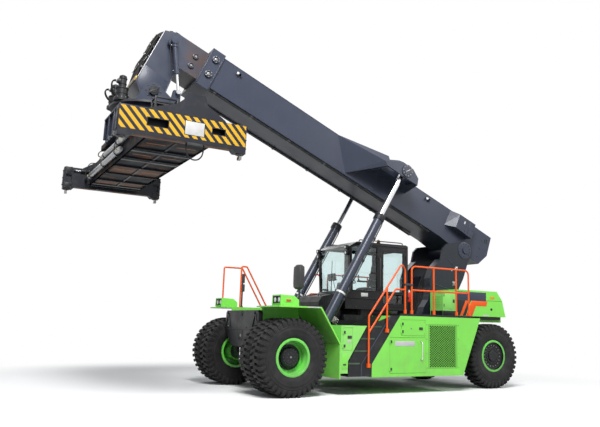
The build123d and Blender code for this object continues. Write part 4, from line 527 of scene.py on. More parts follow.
class Shape:
    """One piece being made: parts from bmesh operators, gathered in one mesh with its finishes."""

    def __init__(self):
        self.mesh = bmesh.new()
        self.finishes = []

    def join(self, part, finish, place=None):
        """Add a finished part, given a finish, at a place."""
        if place is not None:
            bmesh.ops.transform(part, matrix=place, verts=part.verts)
        if finish not in self.finishes:
            self.finishes.append(finish)
        for face in part.faces:
            face.material_index = self.finishes.index(finish)
            face.smooth = True
        holder = bpy.data.meshes.new("part")
        part.to_mesh(holder)
        part.free()
        self.mesh.from_mesh(holder)
        bpy.data.meshes.remove(holder)

    def box(self, finish, low, high, edge=0.004, place=None, edge_steps=2):
        """Plate or block between two opposite corners, its edges rounded."""
        low, high = (Vector([pick(pair) for pair in zip(low, high)]) for pick in (min, max))
        part = bmesh.new()
        bmesh.ops.create_cube(part, size=1)
        bmesh.ops.scale(part, vec=high - low, verts=part.verts)
        bmesh.ops.translate(part, vec=(low + high) / 2, verts=part.verts)
        if edge:
            soften(part, edge, edge_steps)
        self.join(part, finish, place)

    def bar(self, finish, start, end, radius, end_radius=None, sides=24, edge=0):
        """Round or many-sided bar between two places."""
        start, end = Vector(start), Vector(end)
        part = bmesh.new()
        bmesh.ops.create_cone(part, cap_ends=True, segments=sides, radius1=radius,
            radius2=radius if end_radius is None else end_radius, depth=(end - start).length)
        if edge:
            rims = [rim for rim in part.edges if any(len(face.verts) > 4 for face in rim.link_faces)]
            bevel_edges(part, rims, edge, 2)
        self.join(part, finish, Matrix.Translation((start + end) / 2) @ turn_to(end - start))

    def ball(self, finish, centre, radius, sides=16, squash=(1, 1, 1)):
        """Ball, or a squashed one."""
        part = bmesh.new()
        bmesh.ops.create_uvsphere(part, u_segments=sides, v_segments=sides // 2, radius=radius)
        bmesh.ops.scale(part, vec=squash, verts=part.verts)
        self.join(part, finish, Matrix.Translation(Vector(centre)))

    def turned(self, finish, section, centre, axis="Y", steps=64, closed=True):
        """Spin a section (along the axis, radius) round an axis through the centre."""
        part = bmesh.new()
        corners = [part.verts.new((radius, 0, along)) for along, radius in section]
        edges = [part.edges.new(pair) for pair in zip(corners, corners[1:])]
        if closed:
            edges.append(part.edges.new((corners[-1], corners[0])))
        bmesh.ops.spin(part, geom=corners + edges, cent=(0, 0, 0), axis=(0, 0, 1), angle=2 * math.pi,
            steps=steps, use_merge=True, use_duplicate=False)
        bmesh.ops.remove_doubles(part, verts=part.verts, dist=0.00002)
        bmesh.ops.delete(part, geom=[line for line in part.edges if not line.link_faces], context="EDGES")
        bmesh.ops.recalc_face_normals(part, faces=part.faces)
        turn = AXIS_TURNS[axis] if isinstance(axis, str) else turn_to(axis)
        self.join(part, finish, Matrix.Translation(Vector(centre)) @ turn)

    def plate(self, finish, outline, thickness, edge=0.003, place=None):
        """Plate with an outline in the x-z plane, its thickness along y from the outline."""
        part = bmesh.new()
        corners = [part.verts.new((x, 0, z)) for x, z in outline]
        face = part.faces.new(corners)
        grown = bmesh.ops.extrude_face_region(part, geom=[face])
        moved = [item for item in grown["geom"] if isinstance(item, bmesh.types.BMVert)]
        bmesh.ops.translate(part, vec=(0, thickness, 0), verts=moved)
        bmesh.ops.recalc_face_normals(part, faces=part.faces)
        if edge:
            soften(part, edge, 2)
        self.join(part, finish, place)

    def hexagon(self, finish, start, end, radius, edge=0.002):
        """Hexagon fitting between two places."""
        self.bar(finish, start, end, radius, sides=6, edge=edge)

    def bolt(self, finish, centre, axis, size=0.022, height=0.014, washer=True):
        """Hexagon bolt head on a washer, standing out along its axis."""
        centre, axis = Vector(centre), Vector(axis).normalized()
        if washer:
            self.bar(finish, centre, centre + axis * height * 0.3, size * 1.35, sides=12)
        top = centre + axis * height
        self.hexagon(finish, centre + axis * height * 0.25, top, size, size * 0.1)

    def bolt_ring(self, finish, centre, axis, radius, count, size=0.022, height=0.014, start=0):
        """Bolts at even distances on a circle."""
        axis = Vector(axis).normalized()
        across = axis.orthogonal().normalized()
        over = axis.cross(across)
        for number in range(count):
            turn = start + 2 * math.pi * number / count
            spot = Vector(centre) + radius * (math.cos(turn) * across + math.sin(turn) * over)
            self.bolt(finish, spot, axis, size, height)

    def hose(self, finish, route, radius, sides=4):
        """Hose or pipe along a smooth line through a route."""
        self.join(swept(route, radius, sides), finish)

    def finish(self, name, body, slot, sharp=32.0, stands_for=()):
        """Make the piece's object, and let it ride on its body."""
        mesh = bpy.data.meshes.new(name)
        self.mesh.to_mesh(mesh)
        self.mesh.free()
        for finish in self.finishes:
            mesh.materials.append(FINISHES[finish])
        mesh.set_sharp_from_angle(angle=math.radians(sharp))
        piece = bpy.data.objects.new(name, mesh)
        bpy.context.scene.collection.objects.link(piece)
        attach(piece, body)
        if stands_for:
            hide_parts(*stands_for)
        return piece


def bevel_edges(part, edges, width, steps):
    bmesh.ops.bevel(part, geom=edges, offset=width, offset_type="OFFSET", segments=steps, profile=0.5,
        affect="EDGES", clamp_overlap=True, material=-1)


def soften(part, width, steps):
    """Round the edges where faces meet at an angle."""
    corners = [edge for edge in part.edges if len(edge.link_faces) == 2
        and edge.calc_face_angle(0) > SHARP_ANGLE]
    bevel_edges(part, corners, width, steps)


def turn_to(axis):
    """Rotation that takes straight up to an axis."""
    return Vector(axis).to_track_quat("Z", "Y").to_matrix().to_4x4()


def turned_at(place, angle, axis):
    """Set at a place, turned about an axis."""
    return Matrix.Translation(place) @ Matrix.Rotation(angle, 4, axis)


def swept(route, radius, sides=4):
    """Round tube along a smooth line, as a bmesh."""
    line = bpy.data.curves.new("line", "CURVE")
    line.dimensions = "3D"
    line.bevel_depth = radius
    line.bevel_resolution = sides
    line.use_fill_caps = True
    line.resolution_u = 8
    spline = line.splines.new("NURBS")
    spline.points.add(len(route) - 1)
    for point, place in zip(spline.points, route):
        point.co = (*place, 1)
    spline.order_u = 3
    spline.use_endpoint_u = True
    holder = bpy.data.objects.new("line", line)
    bpy.context.scene.collection.objects.link(holder)
    bpy.context.view_layer.update()
    made = bpy.data.meshes.new_from_object(holder)
    part = bmesh.new()
    part.from_mesh(made)
    bpy.data.objects.remove(holder)
    bpy.data.curves.remove(line)
    bpy.data.meshes.remove(made)
    bmesh.ops.remove_doubles(part, verts=part.verts, dist=0.00002)
    bmesh.ops.recalc_face_normals(part, faces=part.faces)
    return part


# ---------------------------------------------------------------- wheels
LUG_COUNT = 38
# Distance from the tyre's middle plane and radius, from the bead over the wall to the tread's middle
TYRE_WALL = [
    (0.172, 0.374), (0.177, 0.398), (0.196, 0.402), (0.214, 0.425), (0.236, 0.48), (0.2455, 0.53),
    (0.2475, 0.56), (0.2505, 0.566), (0.2505, 0.582), (0.2475, 0.59), (0.247, 0.625), (0.2505, 0.632),
    (0.2505, 0.642), (0.244, 0.65), (0.24, 0.69), (0.228, 0.73), (0.205, 0.752), (0.12, 0.764),
]
# The same for a lug's outer and inner line, with how far it is turned round the tyre
LUG_LINE = [
    (0.2445, 0.655, 0.2515, 0.662, 0.05), (0.2395, 0.7, 0.25, 0.712, 0.046),
    (0.224, 0.735, 0.244, 0.768, 0.04), (0.2, 0.75, 0.22, 0.797, 0.034),
    (0.12, 0.76, 0.12, 0.8045, 0.014), (0.045, 0.762, 0.045, 0.805, 0),
    (-0.012, 0.762, -0.012, 0.803, 0),
]
LUG_HALF_TURN = 0.046


def tread_lugs(shape, centre):
    """Lugs swept back over each shoulder, alternating from side to side."""
    part = bmesh.new()
    for side, start in ((1, 0), (-1, math.pi / LUG_COUNT)):
        rings = []
        for low_y, low_r, high_y, high_r, swept_back in LUG_LINE:
            ring = []
            for aside, radius, turn in ((low_y, low_r, -LUG_HALF_TURN * 1.12),
                    (high_y, high_r, -LUG_HALF_TURN * 0.88), (high_y, high_r, LUG_HALF_TURN * 0.88),
                    (low_y, low_r, LUG_HALF_TURN * 1.12)):
                angle = start + swept_back + turn
                ring.append(part.verts.new((radius * math.sin(angle), side * aside,
                    radius * math.cos(angle))))
            rings.append(ring)
        for ring, following in zip(rings, rings[1:]):
            loops = [part.edges.get(pair) or part.edges.new(pair) for row in (ring, following)
                for pair in zip(row, row[1:] + row[:1])]
            bmesh.ops.bridge_loops(part, edges=loops)
        part.faces.new(rings[0])
        part.faces.new(rings[-1])
    bmesh.ops.recalc_face_normals(part, faces=part.faces)
    ridge = [edge for edge in part.edges if edge.calc_face_angle(0) > 0.6]
    bevel_edges(part, ridge, 0.004, 1)
    bmesh.ops.spin(part, geom=part.verts[:] + part.edges[:] + part.faces[:], cent=(0, 0, 0), axis=(0, 1, 0),
        angle=2 * math.pi * (LUG_COUNT - 1) / LUG_COUNT, steps=LUG_COUNT - 1,
        use_merge=False, use_duplicate=True)
    shape.join(part, "tyre", Matrix.Translation(centre))


def lugged_tyre(shape, centre):
    section = TYRE_WALL + [(-aside, radius) for aside, radius in reversed(TYRE_WALL)]
    shape.turned("tyre", section, centre, steps=96)
    tread_lugs(shape, centre)


WHEEL_SIDES = (("left", 1), ("right", -1))
TWIN_Y = (1.24, 1.805)
STEER_WHEEL_Y = 1.39
for side_name, side in WHEEL_SIDES:
    front_tyres = Shape()
    for twin_y in TWIN_Y:
        lugged_tyre(front_tyres, at(0, side * twin_y, AXLE_Z))
    front_tyres.finish(f"front_tyres_detail_{side_name}", f"front_wheels_{side_name}", "tyre_rubber", 25,
        [f"front_tyres_{side_name}"])
    rear_tyre = Shape()
    lugged_tyre(rear_tyre, at(REAR_AXLE, side * STEER_WHEEL_Y, AXLE_Z))
    rear_tyre.finish(f"rear_tyre_detail_{side_name}", f"rear_wheel_{side_name}", "tyre_rubber", 25,
        [f"rear_tyre_{side_name}"])

    # Drive hub: black cap in a toothed ring, in the rim's deep green dish
    hub = Shape()
    axle = at(0, 0, AXLE_Z)
    out = Vector((0, side, 0))
    dish_y = side * 1.765
    hub.turned("rim", [(side * 2.001, 0.345), (side * 2.0065, 0.352), (side * 2.0075, 0.384),
        (side * 2.003, 0.392), (side * 1.99, 0.392), (side * 1.99, 0.34)], axle, steps=80)
    hub.turned("rim", [(side * 1.99, 0.3405), (side * 1.905, 0.333), (side * 1.865, 0.318),
        (side * 1.835, 0.326), (side * 1.772, 0.322), (side * 1.77, 0.34)], axle, steps=80)
    hub.turned("black", [(dish_y, 0.205), (dish_y, 0.262), (dish_y + side * 0.022, 0.262),
        (dish_y + side * 0.022, 0.205)], axle, steps=64)
    hub.turned("black", [(side * 1.77, 0.2155), (side * 1.842, 0.2155), (side * 1.868, 0.188),
        (side * 1.878, 0.176), (side * 1.88, 0.15), (side * 1.892, 0.146), (side * 1.898, 0.12),
        (side * 1.899, 0), (side * 1.77, 0)], axle, steps=64)
    for number in range(40):
        turn = 2 * math.pi * number / 40
        spot = at(0.248 * math.cos(turn), dish_y + side * 0.026, AXLE_Z + 0.248 * math.sin(turn))
        hub.box("black", (-0.01, -0.012, -0.012), (0.01, 0.012, 0.012), 0.002,
            Matrix.Translation(spot) @ Matrix.Rotation(-turn, 4, "Y"), 1)
    hub.bolt_ring("steel_dark", at(0, side * 1.879, AXLE_Z), out, 0.163, 16, 0.011, 0.01)
    hub.bolt_ring("steel_dark", at(0, side * 1.898, AXLE_Z), out, 0.088, 8, 0.009, 0.008)
    hub.bolt_ring("steel_dark", at(0, dish_y + side * 0.022, AXLE_Z), out, 0.232, 24, 0.013, 0.016)
    hub.bar("steel", at(0, side * 1.897, AXLE_Z), at(0, side * 1.906, AXLE_Z), 0.022, 0.018, 20, 0.002)
    hub.hose("plastic", [at(0.318, side * 1.8, AXLE_Z), at(0.318, side * 1.84, AXLE_Z),
        at(0.326, side * 1.89, AXLE_Z), at(0.33, side * 1.93, AXLE_Z)], 0.006, 2)
    hub.finish(f"drive_hub_{side_name}", f"front_wheels_{side_name}", "black_paint")

    # Steer hub: stepped cap with two rings of bolts
    hub = Shape()
    out_y = side * 1.5255
    centre = at(REAR_AXLE, 0, AXLE_Z)
    hub.turned("rim", [(side * 1.586, 0.345), (side * 1.5915, 0.352), (side * 1.5925, 0.384),
        (side * 1.588, 0.392), (side * 1.575, 0.392), (side * 1.575, 0.34)], centre, steps=80)
    hub.turned("black", [(out_y, 0.215), (out_y + side * 0.004, 0.3), (out_y + side * 0.016, 0.332),
        (out_y + side * 0.074, 0.34), (out_y + side * 0.074, 0.3415), (out_y, 0.3415)], centre, steps=80)
    hub.turned("black", [(out_y, 0), (out_y, 0.212), (out_y + side * 0.016, 0.212),
        (out_y + side * 0.022, 0.204), (out_y + side * 0.022, 0.15), (out_y + side * 0.052, 0.14),
        (out_y + side * 0.0605, 0.128), (out_y + side * 0.0605, 0)], centre, steps=64)
    hub.bolt_ring("steel_dark", at(REAR_AXLE, out_y + side * 0.022, AXLE_Z), out, 0.18, 18, 0.013, 0.016)
    hub.bolt_ring("steel_dark", at(REAR_AXLE, out_y + side * 0.0605, AXLE_Z), out, 0.1, 8, 0.009, 0.008)
    hub.bolt_ring("steel", at(REAR_AXLE, out_y + side * 0.0045, AXLE_Z), out, 0.262, 18, 0.012, 0.016)
    hub.finish(f"steer_hub_{side_name}", f"rear_wheel_{side_name}", "black_paint")


# ---------------------------------------------------------------- flanks, lockers and front plate
GRILLE_X = (-4.4, -3.51)
GRILLE_Z = (0.54, 1.56)
UPPER_HINGE_X = -2.74
LOWER_HINGE_X = -2.42
LOCKER_HINGE_X = -1.18


def side_point(side, x, out, z):
    """Place on a flank, standing out from the body's face."""
    return at(x, side * (BODY_HALF_WIDTH + out), z)


def side_box(shape, finish, side, x_range, out_range, z_range, edge=0.003):
    """Block on a flank, from one distance out of its face to another."""
    low, high = (side_point(side, *corner) for corner in zip(x_range, out_range, z_range))
    shape.box(finish, low, high, edge)


def paddle_latch(shape, side, x, z):
    """Black pan with a paddle in it."""
    side_box(shape, "plastic", side, (x - 0.055, x + 0.055), (0.0005, 0.008), (z - 0.032, z + 0.032), 0.005)
    side_box(shape, "plastic", side, (x - 0.042, x + 0.03), (0.007, 0.016), (z - 0.02, z + 0.02), 0.004)
    shape.bar("steel_dark", side_point(side, x + 0.041, 0.007, z), side_point(side, x + 0.041, 0.012, z),
        0.007, sides=14, edge=0.001)


def hinge_cover(shape, side, x, z):
    """Black moulding over a hinge barrel, with its two screws."""
    side_box(shape, "plastic", side, (x - 0.055, x - 0.004), (0.0065, 0.016), (z + 0.01, z + 0.07), 0.005)
    for screw_z in (z + 0.024, z + 0.056):
        shape.bar("steel_dark", side_point(side, x - 0.032, 0.015, screw_z),
            side_point(side, x - 0.032, 0.0185, screw_z), 0.006, sides=12, edge=0.001)


for side_name, side in WHEEL_SIDES:
    out = Vector((0, side, 0))
    upper = Shape()
    paddle_latch(upper, side, -3.3, 1.45)
    for hinge_z in (1.34, 1.51):
        hinge_cover(upper, side, UPPER_HINGE_X, hinge_z)
    upper.turned("steel", [(0, 0), (0, 0.019), (0.006, 0.019), (0.009, 0.015), (0.009, 0)],
        side_point(side, -3.02, 0, 1.455), out, 24)
    for spot_x, spot_z in ((-3.4, 1.6), (-3.4, 1.33)):
        upper.bolt("steel", side_point(side, spot_x, 0, spot_z), out, 0.008, 0.006)
    upper.finish(f"upper_door_fittings_{side_name}", f"upper_door_{side_name}", "black_plastic")

    lower = Shape()
    handle = [side_point(side, -3.3, 0, 1.15), side_point(side, -3.3, 0.05, 1.15),
        side_point(side, -3.3, 0.058, 1.1), side_point(side, -3.3, 0.058, 0.8),
        side_point(side, -3.3, 0.05, 0.75), side_point(side, -3.3, 0, 0.75)]
    lower.hose("chrome", handle, 0.011)
    for foot_z in (0.75, 1.15):
        lower.turned("steel", [(0, 0), (0, 0.024), (0.006, 0.024), (0.009, 0.014), (0.009, 0)],
            side_point(side, -3.3, 0, foot_z), out, 24)
    for hinge_z in (0.51, 1.11):
        hinge_cover(lower, side, LOWER_HINGE_X, hinge_z)
    side_box(lower, "plate", side, (-3.12, -2.56), (0.0005, 0.003), (1.05, 1.165), 0.001)
    for rivet_x in (-3.1, -2.84, -2.58):
        for rivet_z in (1.062, 1.153):
            lower.ball("steel", side_point(side, rivet_x, 0.003, rivet_z), 0.0055, 10, (1, 0.5, 1))
    lower.finish(f"lower_door_fittings_{side_name}", f"lower_door_{side_name}", "black_plastic")

    locker = Shape()
    for hinge_z in (1.01, 1.3):
        hinge_cover(locker, side, LOCKER_HINGE_X, hinge_z)
    paddle_latch(locker, side, -1.345, 1.235)
    side_box(locker, "plate", side, (-1.375, -1.285), (0.0005, 0.0025), (1.115, 1.168), 0.001)
    locker.finish(f"locker_door_fittings_{side_name}", f"locker_door_{side_name}", "black_plastic")

    # Grille: dark core behind the mesh, and screws round it
    grille = Shape()
    grille.box("core", at(GRILLE_X[0] + 0.01, side * 1.83, GRILLE_Z[0] + 0.01),
        at(GRILLE_X[1] - 0.01, side * 1.955, GRILLE_Z[1] - 0.01), 0.004)
    for number in range(22):
        ridge_x = GRILLE_X[0] + 0.03 + number * (GRILLE_X[1] - GRILLE_X[0] - 0.06) / 21
        side_box(grille, "core", side, (ridge_x - 0.006, ridge_x + 0.006), (-0.09, -0.06),
            (GRILLE_Z[0] + 0.03, GRILLE_Z[1] - 0.03), 0.002)
    for spot_x in (GRILLE_X[0] - 0.035, GRILLE_X[1] + 0.035):
        for step in range(4):
            spot_z = GRILLE_Z[0] + 0.02 + step * (GRILLE_Z[1] - GRILLE_Z[0] - 0.04) / 3
            grille.bolt("steel", side_point(side, spot_x, 0, spot_z), out, 0.01, 0.008)
    grille.finish(f"grille_core_{side_name}", "chassis", "black_plastic")

    # Small panel under the locker door with its latch, blank plate on the fender, and plugs
    trim = Shape()
    side_box(trim, "lime", side, (-1.295, -1.155), (0.0005, 0.0035), (0.56, 0.88), 0.0015)
    side_box(trim, "plastic", side, (-1.262, -1.188), (0.003, 0.01), (0.64, 0.672), 0.004)
    side_box(trim, "plate", side, (-0.6, -0.28), (0.0005, 0.003), (1.832, 1.857), 0.001)
    for x_spot, z_spot in ((-2.98, 1.675), (-3.8, 1.685), (-4.8, 1.4), (-2.3, 0.44), (-4.42, 0.44)):
        trim.bolt("lime", side_point(side, x_spot, 0, z_spot), out, 0.009, 0.006)
    trim.finish(f"flank_trim_{side_name}", "chassis", "green_paint")

    # Stairs: tread nosings and raised grip bars on each step
    treads = Shape()
    for number in range(5):
        step_z = 0.43 + number * 0.265
        rear_x = -1.925 if number == 0 else -1.926 - max(step_z - 0.03 - 0.659, 0) * 0.772 / 1.07
        front_x = -1.32 if number == 0 else rear_x + 0.235
        if number:
            treads.box("step_green", at(front_x - 0.004, side * 1.3, step_z - 0.052),
                at(front_x + 0.004, side * 1.99, step_z - 0.003), 0.001)
        for bar in range(6):
            bar_x = rear_x + 0.03 + bar * (front_x - rear_x - 0.06) / 5
            treads.box("black", at(bar_x - 0.005, side * 1.3, step_z - 0.001),
                at(bar_x + 0.005, side * 1.99, step_z + 0.005), 0.0015, edge_steps=1)
        if number:
            # Tread's end shows on the stringer, from its flange to the locker's slanted edge
            side_box(treads, "step_green", side, (rear_x + 0.315, -1.318 - max(step_z - 0.733, 0) * 0.65),
                (0, 0.006), (step_z - 0.034, step_z - 0.004), 0.002)
    treads.plate("slate", [(-1.64, 0.405), (-1.64, 0.655), (-2.425, 1.728), (-2.46, 1.728), (-1.668, 0.662),
        (-1.668, 0.405)], side * 0.008, 0.001, Matrix.Translation(side_point(side, 0, 0, 0)))
    treads.finish(f"step_treads_{side_name}", "chassis", "black_paint")

# Clamps between the paired rail posts, and bolts round the posts' feet
clamps = Shape()
RAIL_Y = 1.9787
for side in (1, -1):
    clamps.box("plastic", at(-3.11, side * RAIL_Y - 0.024, 2.43),
        at(-2.86, side * RAIL_Y + 0.024, 2.478), 0.006)
    for bolt_x in (-2.95, -3.02):
        clamps.bolt("steel_dark", at(bolt_x, side * RAIL_Y, 2.478), UP, 0.009, 0.008)
    for foot_x in (-2.89, -3.08, -3.742, -4.44, -4.84):
        for turn in (0.6, 0.6 + math.pi / 2, 0.6 + math.pi, 0.6 + 1.5 * math.pi):
            spot = at(foot_x + 0.028 * math.cos(turn), side * RAIL_Y + 0.028 * math.sin(turn), 1.8652)
            clamps.bolt("steel", spot, UP, 0.005, 0.004, washer=False)
clamps.finish("rail_clamps", "chassis", "rail_paint")


# ---------------------------------------------------------------- front plate, lamps and mirrors
PLATE_X = 0.355
front = Shape()
for side in (1, -1):
    ear_y = side * 0.79
    front.turned("steel_dark", [(0, 0.062), (0, 0.082), (0.01, 0.08), (0.012, 0.066), (0.01, 0.062)],
        at(PLATE_X, ear_y, 1.69), "X", 40)
    # Gussets in a V under each ear
    for lean in (-1, 1):
        front.box("black", (-0.001, -0.011, -0.16), (0.022, 0.011, 0.16), 0.004,
            turned_at(at(PLATE_X, ear_y + lean * 0.075, 1.53), lean * 0.42, "X"))
    # White patches at an ear's slot and at a lower hole: painted light, the bright backdrop as seen through
    # the holes
    lit_hole_low, lit_hole_high, reach = (1.6, 1.68, 0.013) if side > 0 else (1.4, 1.42, 0.012)
    front.box("white_paint", at(PLATE_X - 0.001, ear_y - reach, lit_hole_low),
        at(PLATE_X + 0.004, ear_y + reach, lit_hole_high), 0.002)
# Half-round cap of the top notch, raised rib with bolts, and tow pin
front.turned("black", [(0, 0.022), (0, 0.06), (0.014, 0.056), (0.016, 0.026)], at(PLATE_X, 0, 1.7), "X", 32)
front.box("black", at(PLATE_X - 0.001, -0.9, 1.33), at(PLATE_X + 0.01, 0.9, 1.352), 0.004)
for bolt_y in (-0.86, -0.6, -0.3, 0.3, 0.6, 0.86):
    front.bolt("steel_dark", at(PLATE_X, bolt_y, 1.38), (1, 0, 0), 0.014, 0.012)
front.turned("steel", [(0, 0), (0, 0.034), (0.006, 0.036), (0.012, 0.03), (0.012, 0)],
    at(PLATE_X, 0, 1.2), "X", 28)
front.box("black", at(PLATE_X - 0.001, -0.1, 1.09), at(PLATE_X + 0.006, 0.1, 1.31), 0.005)
# Two bright steering and brake lines down the middle, below the plate
for line_y in (-0.1, 0.12):
    front.bar("chrome", at(PLATE_X - 0.05, line_y, 0.62), at(PLATE_X - 0.05, line_y, 0.96), 0.017,
        sides=20, edge=0.002)
    front.bar("steel_dark", at(PLATE_X - 0.05, line_y, 0.6), at(PLATE_X - 0.05, line_y, 0.66), 0.026,
        sides=20, edge=0.003)
    front.box("black", at(PLATE_X - 0.09, line_y - 0.04, 0.93),
        at(PLATE_X - 0.01, line_y + 0.04, 0.97), 0.005)
for height in (0.63, 0.8):
    front.box("black", at(-0.06, -0.03, height - 0.03), at(PLATE_X - 0.02, 0.03, height + 0.03), 0.006)
front.finish("front_plate_fittings", "chassis", "black_paint")

# Pipes and valve block that lie on top of the frame behind the front plate
lines = Shape()
for lane_y in (-0.62, -0.5, -0.38, 0.4, 0.52, 0.64):
    lines.hose("rubber", [at(0.2, lane_y, 1.7), at(0.05, lane_y, 1.74), at(-0.35, lane_y * 0.97, 1.71),
        at(-0.85, lane_y * 0.95, 1.67), at(-1.3, lane_y * 0.94, 1.655)], 0.019, 3)
    lines.hexagon("steel", at(0.19, lane_y, 1.702), at(0.12, lane_y, 1.722), 0.026)
for clamp_x in (-0.15, -0.75):
    lines.box("steel_dark", at(clamp_x - 0.02, -0.66, 1.652), at(clamp_x + 0.02, 0.68, 1.672), 0.004)
lines.box("black", at(-0.3, -0.22, 1.6), at(0.22, 0.26, 1.74), 0.012)
for number in range(5):
    lines.hexagon("steel", at(-0.22 + number * 0.09, -0.12 + 0.06 * (number % 3), 1.735),
        at(-0.22 + number * 0.09, -0.12 + 0.06 * (number % 3), 1.775), 0.02, 0.003)
lines.finish("frame_top_lines", "chassis", "hose_rubber")

for side_name, side in WHEEL_SIDES:
    lamps = Shape()
    bezel_y = side * 1.7
    # Black bezel in the housing's recess, with two lamps behind rims
    for low_y, high_y, low_z, high_z in ((-0.188, -0.176, 1.902, 2.068), (0.176, 0.188, 1.902, 2.068),
            (-0.188, 0.188, 1.902, 1.914), (-0.188, 0.188, 2.056, 2.068), (-0.01, 0.01, 1.905, 2.065)):
        lamps.box("plastic", at(0.232, bezel_y + low_y, low_z), at(0.286, bezel_y + high_y, high_z), 0.003)
    for lamp_y in (-0.095, 0.095):
        centre = at(0, bezel_y + lamp_y, 1.985)
        lamps.turned("plastic", [(0.232, 0.063), (0.28, 0.0665), (0.284, 0.0655), (0.284, 0.058),
            (0.276, 0.0565), (0.276, 0)], centre, "X", 40, closed=False)
        lamps.turned("lamp_lens", [(0.2765, 0.057), (0.283, 0.045), (0.2865, 0.024), (0.2875, 0)], centre,
            "X", 40, closed=False)
    out_y = side * 1.91
    lamps.box("lime", at(0.03, out_y, 1.93), at(0.2, out_y + side * 0.004, 2.02), 0.002)
    lamps.box("marker_red", at(0.055, out_y + side * 0.002, 1.952),
        at(0.165, out_y + side * 0.016, 1.995), 0.006)
    for bolt_x in (-0.09, 0.24):
        lamps.bolt("lime", at(bolt_x, out_y, 1.885), (0, side, 0), 0.01, 0.007)
    lamps.box("lime", at(-0.16, bezel_y - 0.2, 1.86), at(0.3, bezel_y + 0.2, 1.868), 0.003)
    lamps.finish(f"headlamp_fittings_{side_name}", "chassis", "green_paint")

# Mirrors: an oval head on the left arm, two plates on the right
mirror = Shape()
head = bmesh.new()
bmesh.ops.create_cube(head, size=1)
bmesh.ops.subdivide_edges(head, edges=head.edges[:], cuts=3, use_grid_fill=True)
bmesh.ops.smooth_vert(head, verts=head.verts, factor=0.9, use_axis_x=True, use_axis_y=True, use_axis_z=True)
bmesh.ops.smooth_vert(head, verts=head.verts, factor=0.5, use_axis_x=True, use_axis_y=True, use_axis_z=True)
bmesh.ops.scale(head, vec=(0.15, 0.33, 0.545), verts=head.verts)
mirror.join(head, "plastic", Matrix.Translation(at(-0.285, 1.585, 2.5)))
mirror.box("mirror_glass", at(-0.352, 1.49, 2.3), at(-0.3465, 1.68, 2.69), 0.002)
for stem_y, stem_top, thick in ((1.6, 2.36, 0.021), (-1.6, 2.7, 0.02)):
    foot = at(-0.3, stem_y, 1.86)
    mirror.bar("plastic", foot, at(-0.3, stem_y, stem_top), thick, sides=20, edge=0.002)
    mirror.turned("plastic", [(0, 0), (0, 0.055), (0.012, 0.055), (0.02, 0.036), (0.055, 0.03), (0.06, 0)],
        foot, "Z", 28)
mirror.bar("steel_dark", at(-0.3, 1.565, 2.3), at(-0.3, 1.635, 2.3), 0.014, sides=12, edge=0.002)
for low, high in (((-0.318, -1.705, 2.27), (-0.288, -1.475, 2.46)),
        ((-0.318, -1.69, 2.49), (-0.288, -1.49, 2.735))):
    mirror.box("plastic", at(*low), at(*high), 0.012)
    mirror.box("mirror_glass", at(-0.3205, low[1] + 0.018, low[2] + 0.018),
        at(-0.317, high[1] - 0.018, high[2] - 0.018), 0.001)
mirror.finish("mirror_heads", "chassis", "black_plastic", stands_for=["mirrors"])

# ---------------------------------------------------------------- lift cylinders
LIFT_Y = 1.05
LIFT_FOOT = at(-1.175, 0, 1.325)
LIFT_EYE = (2.914, 0.744)
LIFT_TOP = on_boom(LIFT_EYE[0], 0, LIFT_EYE[1])
LIFT_LINE = (LIFT_TOP - LIFT_FOOT).normalized()
LIFT_SQUARE = Vector((-LIFT_LINE.z, 0, LIFT_LINE.x))


def on_lift(side, along, behind=0, out=0):
    """Place beside a lift cylinder: along it from its foot, behind its line and out from its middle."""
    return LIFT_FOOT + Vector((0, side * (LIFT_Y + out), 0)) + LIFT_LINE * along + LIFT_SQUARE * behind


